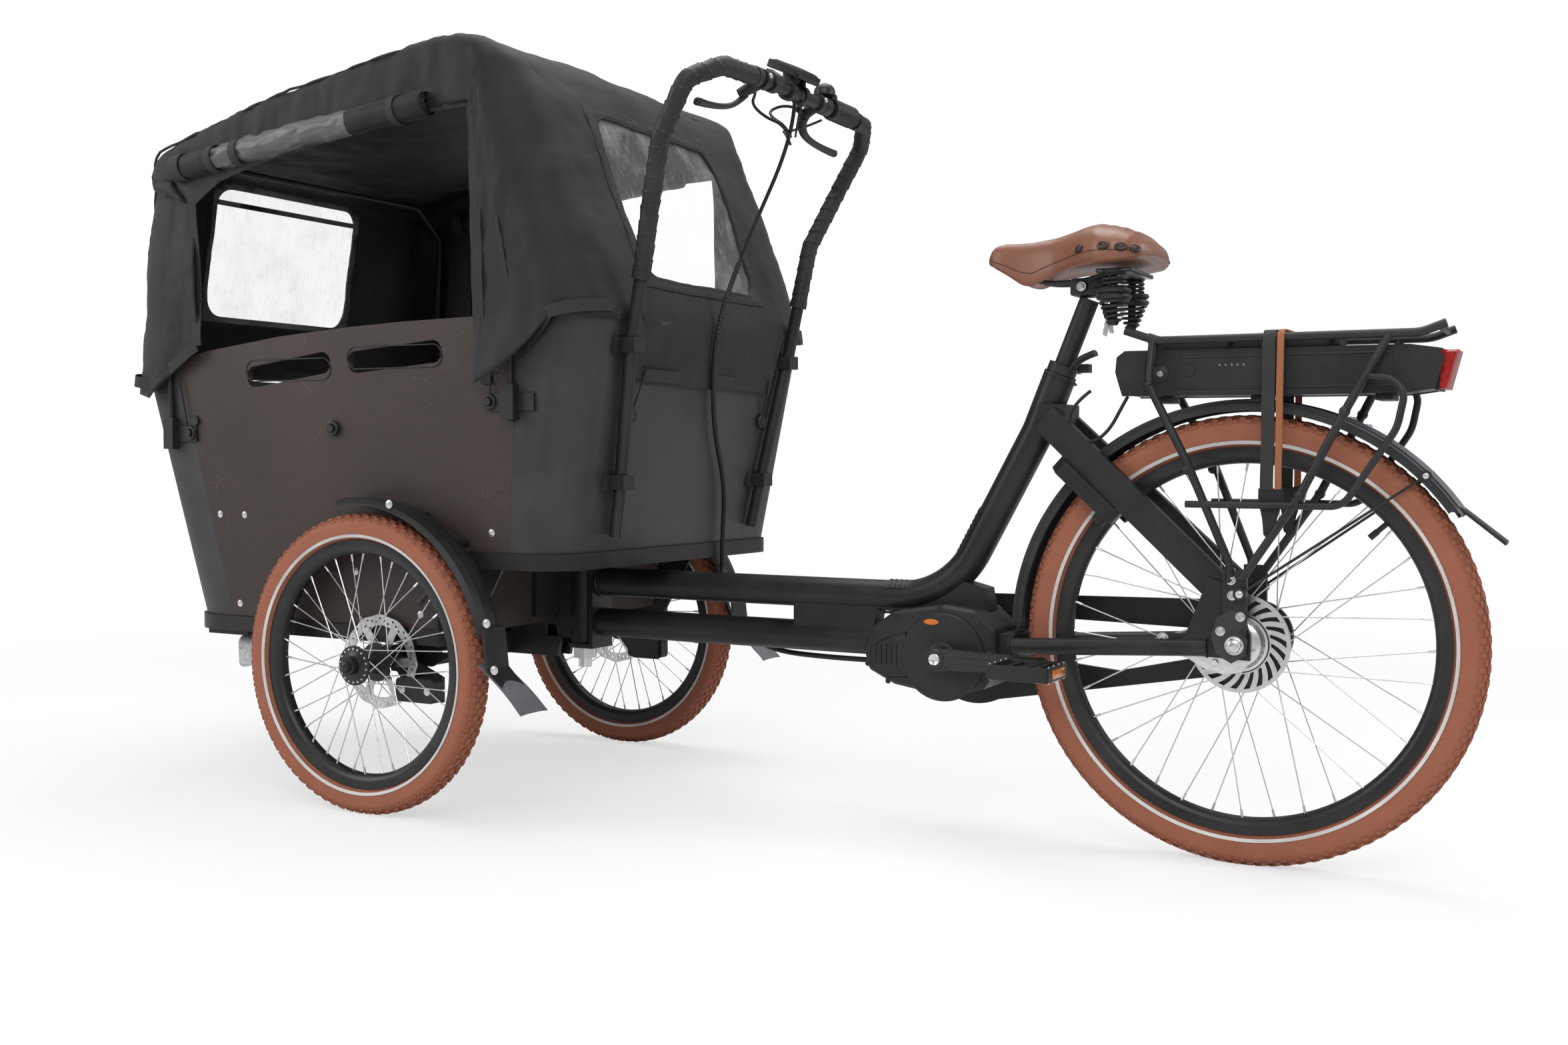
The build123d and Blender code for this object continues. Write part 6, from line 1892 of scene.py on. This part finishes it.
weld(at(1148, 0, 371), (1, 0, 0), 0.0262)
weld(at(1148, 0, 297), (1, 0, 0), 0.0200)
weld(at(287, 0, 722), (-0.45, 0, 0.90), 0.0262, 0.0015)
for sign in (1, -1):
    weld(at(348, sign * 42, 305), (0.95, 0.0, -0.05), 0.0138, 0.0018)
    weld(at(42, sign * 60, 324), (0.95, 0.0, -0.05), 0.0136, 0.0016)
for x0, z0, x1, z1 in ((470, 345, 585, 345), (400, 352, 400, 372)):
    for sign in (1, -1):
        line = even_line([at(x0, sign * 18.5, z0), at(x1, sign * 18.5, z1)], 0.002)
        beads.tube(line, 0.0022, 6, lambda run, turn: 0.0006 * sin(run * 1400))
beads.piece("frame_welds", "rear_frame", ["frame_paint"], (), 60.0)

# Crank bolts, caged pedals and the motor's blank badge
for label, sign in (("left", 1), ("right", -1)):
    tip = CRANK.x - sign * 0.170
    pedal_at = Vector((tip, sign * 0.152, CRANK.z))
    cage = Forge()
    for dx in (-0.045, 0.045):
        cage.brick((tip + dx - 0.0030, pedal_at.y - 0.042, CRANK.z - 0.0110),
                   (tip + dx + 0.0030, pedal_at.y + 0.042, CRANK.z + 0.0110),
                   0.0015)
    for dy in (-0.041, 0.041):
        cage.brick((tip - 0.046, pedal_at.y + dy - 0.0030, CRANK.z - 0.0110),
                   (tip + 0.046, pedal_at.y + dy + 0.0030, CRANK.z + 0.0110),
                   0.0015)
    for dx in (-0.022, 0.022):
        cage.brick((tip + dx - 0.0035, pedal_at.y - 0.040, CRANK.z - 0.0085),
                   (tip + dx + 0.0035, pedal_at.y + 0.040, CRANK.z + 0.0085),
                   0.001)
    cage.turned([(-0.043, 0.0078), (-0.043, 0.0105), (-0.020, 0.0100), (0.020, 0.0100), (0.043, 0.0105),
                 (0.043, 0.0078)],
                pedal_at, 24)
    cage.use(1)
    studs = []
    for dx in (-0.045, 0.045):
        for dy in (-0.034, -0.012, 0.012, 0.034):
            for up in (1, -1):
                studs.append((pedal_at + Vector((dx, dy, up * 0.0108)), (0, 0, up), 0.8))
    stud = Forge().turned([(-0.001, 0.0003), (-0.001, 0.0022), (0.0020, 0.0020), (0.0026, 0.0003)],
                          (0, 0, 0), 8, axis="Z")
    cage.take(spread("pedal_studs", stud.mesh("stud"), studs, "steel"))
    cage.use(2)
    for dx in (-0.0485, 0.0485):
        cage.brick((tip + dx - 0.0008, pedal_at.y - 0.026, CRANK.z - 0.0065),
                   (tip + dx + 0.0008, pedal_at.y + 0.026, CRANK.z + 0.0065),
                   0.0006)
    cage.piece(f"pedal_{label}_cage", f"{label}_pedal", ["black_plastic", "steel", "amber"],
               [f"pedal_{label}"], 35.0)

crank_bits = Forge()
for sign in (1, -1):
    crank_bits.use(0)
    crank_bits.turned([(sign * 0.1000, 0.0003), (sign * 0.1000, 0.0098), (sign * 0.1020, 0.0098),
                       (sign * 0.1030, 0.0085),
                       (sign * 0.1015, 0.0060), (sign * 0.1010, 0.0003)], CRANK, 24)
    crank_bits.use(1)
    crank_bits.turned([(sign * 0.1000, 0.0100), (sign * 0.1030, 0.0100), (sign * 0.1030, 0.0150),
                       (sign * 0.1010, 0.0165),
                       (sign * 0.1000, 0.0165)], CRANK, 32)
    x1 = -sign * 0.160
    crank_bits.plate([(x1 * 0.16, -0.0050), (x1 * 0.90, -0.0030), (x1 * 0.93, 0.0), (x1 * 0.90, 0.0030),
                      (x1 * 0.16, 0.0050)],
                     *sorted((-sign * 0.1005, -sign * 0.1022)), 0.0006, across_y(CRANK.x, 0, CRANK.z))
crank_bits.piece("crank_fittings", "crank", ["steel", "crank_alloy"], (), 35.0)

motor = Forge()
cover = across_y(CRANK.x, 0, CRANK.z)
lobes = []
for k in range(72):
    a = 2 * pi * k / 72
    lobes.append((0.070 * cos(a), 0.070 * sin(a)))
motor.plate(lobes, -0.0700, -0.0658, 0.0020, cover)
motor.plate([(0.062, 0.036), (0.100, 0.024), (0.124, 0.008), (0.127, -0.010), (0.118, -0.026),
             (0.094, -0.038), (0.060, -0.036)],
            -0.0690, -0.0658, 0.0020, cover)
for k in range(5):
    motor.brick((CRANK.x + 0.078 + 0.009 * k, 0.0660, CRANK.z - 0.020 + 0.001 * k),
                (CRANK.x + 0.0815 + 0.009 * k, 0.0706, CRANK.z + 0.018 - 0.001 * k), 0.001)
motor.turned([(0.0690, 0.0165), (0.0690, 0.0260), (0.0730, 0.0240), (0.0750, 0.0200), (0.0750, 0.0165)],
             CRANK, 40)
motor.use(1)
motor.plate([(0.0125 * cos(2 * pi * k / 28), 0.0045 * sin(2 * pi * k / 28)) for k in range(28)], -0.0712,
            -0.0698, 0.0003,
            across_y(CRANK.x + 0.018, 0, CRANK.z + 0.055))
motor.use(2)
spots = []
for dx, dz in ((-0.078, 0.010), (-0.056, 0.060), (0.006, 0.078), (0.080, 0.058), (0.124, 0.030),
               (0.130, -0.018), (0.094, -0.044),
               (0.0, -0.060), (-0.062, -0.036)):
    spots.append((CRANK + Vector((dx, 0.0660, dz)), (0, 1, 0), 0.8))
    spots.append((CRANK + Vector((dx, -0.0480, dz)), (0, -1, 0), 0.8))
motor.take(spread("motor_screws", screw_head(), spots, "black_steel"))
motor.piece("motor_cover", "rear_frame", ["motor_black", "badge_orange", "black_steel"], (), 35.0)

# Ribbed pad on the bend of the frame
pad_rows = []
bend = joined_bends([at(600, 0, 371), at(466, 0, 371), at(322, 0, 640), at(300, 0, 690)], 0.120, 14)
pad_line = [p for p in even_line(bend, 0.003) if at(392, 0, 0).x < p.x < at(575, 0, 0).x]
grip = Forge()
for k, p in enumerate(pad_line):
    ahead = pad_line[min(k + 1, len(pad_line) - 1)] - pad_line[max(k - 1, 0)]
    side, up = cross_frame(ahead)
    up = up if up.z > 0 else -up
    ring = []
    for j in range(17):
        a = radians(-58 + 116 * j / 16)
        rib = 0.0009 if k % 3 == 0 else 0.0
        ring.append(p + (Vector((0, 1, 0)) * sin(a) + up * cos(a)) * (0.0268 + rib))
    for j in range(16, -1, -1):
        a = radians(-58 + 116 * j / 16)
        ring.append(p + (Vector((0, 1, 0)) * sin(a) + up * cos(a)) * 0.0250)
    pad_rows.append(ring)
grip.skin(pad_rows)
grip.piece("frame_pad", "rear_frame", ["black_plastic"], (), 40.0)


# Box: screws, pegs, rings on elastic loops, sockets and slot edges
def side_y(z):
    return 346 + 0.05 * (z - 442)


def back_x(z):
    return 985 - 0.18 * (z - 442)


spots = []
for sign in (1, -1):
    for x, z in ((1740, 492), (1679, 492), (1701, 332), (1279, 333), (1122, 474), (1560, 336), (1420, 400),
                 (1034, 686)):
        spots.append((at(x, sign * (side_y(z) + 0.2), z), (0, sign, -0.05), 1.05))
    for x, z in ((1310, 440), (1390, 440)):
        spots.append((at(x, sign * (side_y(z) + 0.2), z), (0, sign, -0.05), 0.9))
screws("box_screws", "front_carriage", spots, 1.0)


def hook_ring(work, point, out, radius=0.0098):
    """A ring over a peg."""
    side, up = cross_frame(out)
    line = [point + (side * cos(2 * pi * k / 28) + up * sin(2 * pi * k / 28)) * radius for k in range(29)]
    work.tube(line, 0.0036, 10)


rings_at = Forge()
for sign in (1, -1):
    for x, z in ((1801, 637.5), (1113.6, 684.6), (1454, 644)):
        y = side_y(z)
        hook_ring(rings_at, at(x, sign * (y + 5), z), Vector((0, sign, 0)))
        rings_at.turned([(0, 0.0003), (0, 0.0048), (sign * 0.0085, 0.0048), (sign * 0.0105, 0.0068),
                         (sign * 0.0120, 0.0060),
                         (sign * 0.0120, 0.0003)], at(x, sign * y, z), 18)
    y, z = 216, 665
    hook_ring(rings_at, at(back_x(z) - 5, sign * y, z), Vector((-1, 0, 0)))
rings_at.piece("hook_rings", "front_carriage", ["black_plastic"], (), 45.0)

for label, points in (("front_left", ((1806, 362, 645), (1812, 364, 690), (1822, 368, 735))),
                      ("front_right", ((1806, -362, 645), (1812, -364, 690), (1822, -368, 735))),
                      ("rear_left", ((1112, 364, 692), (1108, 366, 722), (1104, 370, 752))),
                      ("rear_right", ((1112, -364, 692), (1108, -366, 722), (1104, -370, 752))),
                      ("back_left", ((938, 216, 674), (926, 212, 706), (918, 206, 740))),
                      ("back_right", ((938, -216, 674), (926, -212, 706), (918, -206, 740)))):
    ends = [at(*p) for p in points]
    line = read_line(ends)
    elastic = Forge().tube(line, 0.0015, 8)
    made = elastic.piece(f"elastic_{label}", "front_carriage", ["cable_black"], (), 60.0)
    line_length(line)

edges = Forge()
for sign in (1, -1):
    for cx, cz, long in ((1557, 746, 200), (1315, 762, 206)):
        line = []
        for k in range(49):
            a = 2 * pi * k / 48
            end = (long - 37) / 2 * (1 if cos(a) > 0 else -1)
            x, z = cx + end + 18.5 * cos(a), cz + 18.5 * sin(a)
            line.append(at(x, sign * (side_y(z) + 0.2), z))
        edges.tube(line, 0.0013, 6)
edges.piece("slot_edges", "front_carriage", ["black_plastic"], (), 60.0)

# Front wheels: mud flaps, bolts on the fenders, calipers and steps, and step ribs
near = Forge()
for sign in (1, -1):
    near.use(0)
    rows = []
    for k in range(15):
        t = k / 14
        x = 1098 - 88 * t - 6 * sin(pi * t)
        z = 268 - 72 * t
        half = 30 + 5 * t
        row = [at(x, sign * 385 - half + 2 * half * j / 8, z + 2.0 * sin(pi * j / 8)) for j in range(9)]
        row += [p - Vector((0.0009, 0, 0.0012)) for p in reversed(row)]
        rows.append(row)
    near.skin(rows)
    near.use(1)
    spots = [(at(x, sign * 412, z), (0, sign, 0), 1.2) for x, z in ((1281, 519), (1081, 335), (1066, 262))]
    spots += [(at(x, sign * 357, z), (0, sign, 0), 1.1) for x, z in ((1252, 207), (1306, 207))]
    spots += [(at(x, sign * 300, 282), (0, 0, 1), 0.9) for x in (1712, 1788)]
    near.take(spread("wheel_bolts", screw_head(), spots, "steel"))
    near.use(2)
    for k in range(8):
        x = 1708 + 12 * k
        near.brick((REAR + x / 1000 - 0.002, sign * 0.300 - 0.024, 0.2812),
                   (REAR + x / 1000 + 0.002, sign * 0.300 + 0.024, 0.2832), 0.0008)
near.piece("front_small_parts", "front_carriage", ["flap_grey", "steel", "black_plastic"], (), 35.0)
# Floor, backdrop and light
def stage_and_light():
    floor = bpy.data.meshes.new("floor")
    bm = bmesh.new()
    bmesh.ops.create_grid(bm, x_segments=1, y_segments=1, size=30.0)
    bm.to_mesh(floor)
    bm.free()
    ground = bpy.data.objects.new("floor", floor)
    scene.collection.objects.link(ground)
    look = Finish("floor_paint")
    cloud = look.noise(0.9, 3.0)
    look.set(Base_Color=look.blend(cloud, (0.80, 0.80, 0.80), (0.86, 0.86, 0.86)), Roughness=0.55)
    seen = look.node("ShaderNodeLightPath", output=0)
    glow = look.node("ShaderNodeEmission", Color=(1.0, 1.0, 1.0, 1.0), Strength=1.0)
    x, y = look.axis("X"), look.axis("Y")
    reach = (x * x + y * y).math("SQRT").ramp(1.3, 3.4) * 0.40 + 0.60
    mixed = look.node("ShaderNodeMixShader", i0=seen * reach, i1=Wire(look.tree, look.shader.outputs[0]),
                      i2=glow)
    look.tree.links.new(mixed.socket, look.output.inputs[0])
    floor.materials.append(look.material)

    world = bpy.data.worlds.new("studio")
    scene.world = world
    world.use_nodes = True
    tree = world.node_tree
    back = tree.nodes["Background"]
    back.inputs[0].default_value = (1.0, 1.0, 1.0, 1.0)
    path = tree.nodes.new("ShaderNodeLightPath")
    plain = tree.nodes.new("ShaderNodeBackground")
    plain.inputs[0].default_value = (1.0, 1.0, 1.0, 1.0)
    plain.inputs[1].default_value = 1.0
    back.inputs[1].default_value = 0.36
    either = tree.nodes.new("ShaderNodeMath")
    either.operation = "MAXIMUM"
    tree.links.new(path.outputs["Is Camera Ray"], either.inputs[0])
    tree.links.new(path.outputs["Is Transmission Ray"], either.inputs[1])
    mix = tree.nodes.new("ShaderNodeMixShader")
    tree.links.new(either.outputs[0], mix.inputs[0])
    tree.links.new(back.outputs[0], mix.inputs[1])
    tree.links.new(plain.outputs[0], mix.inputs[2])
    tree.links.new(mix.outputs[0], tree.nodes["World Output"].inputs[0])

    for name, place, aim, size, power in (
            ("key", (-1.6, 3.6, 3.4), (0.2, 0.0, 0.6), 2.6, 118.0),
            ("side", (3.4, 2.4, 2.2), (0.4, 0.0, 0.7), 2.2, 75.0),
            ("top", (0.2, -0.6, 4.2), (0.1, 0.0, 0.5), 3.2, 135.0),
            ("rear", (-3.6, -1.6, 2.4), (-0.2, 0.0, 0.6), 2.2, 60.0)):
        lamp = bpy.data.lights.new(name, "AREA")
        lamp.size = size
        lamp.energy = power
        spot = bpy.data.objects.new(name, lamp)
        spot.location = place
        spot.rotation_euler = (Vector(aim) - Vector(place)).to_track_quat("-Z", "Y").to_euler()
        scene.collection.objects.link(spot)
    scene.view_settings.view_transform = "Standard"


stage_and_light()
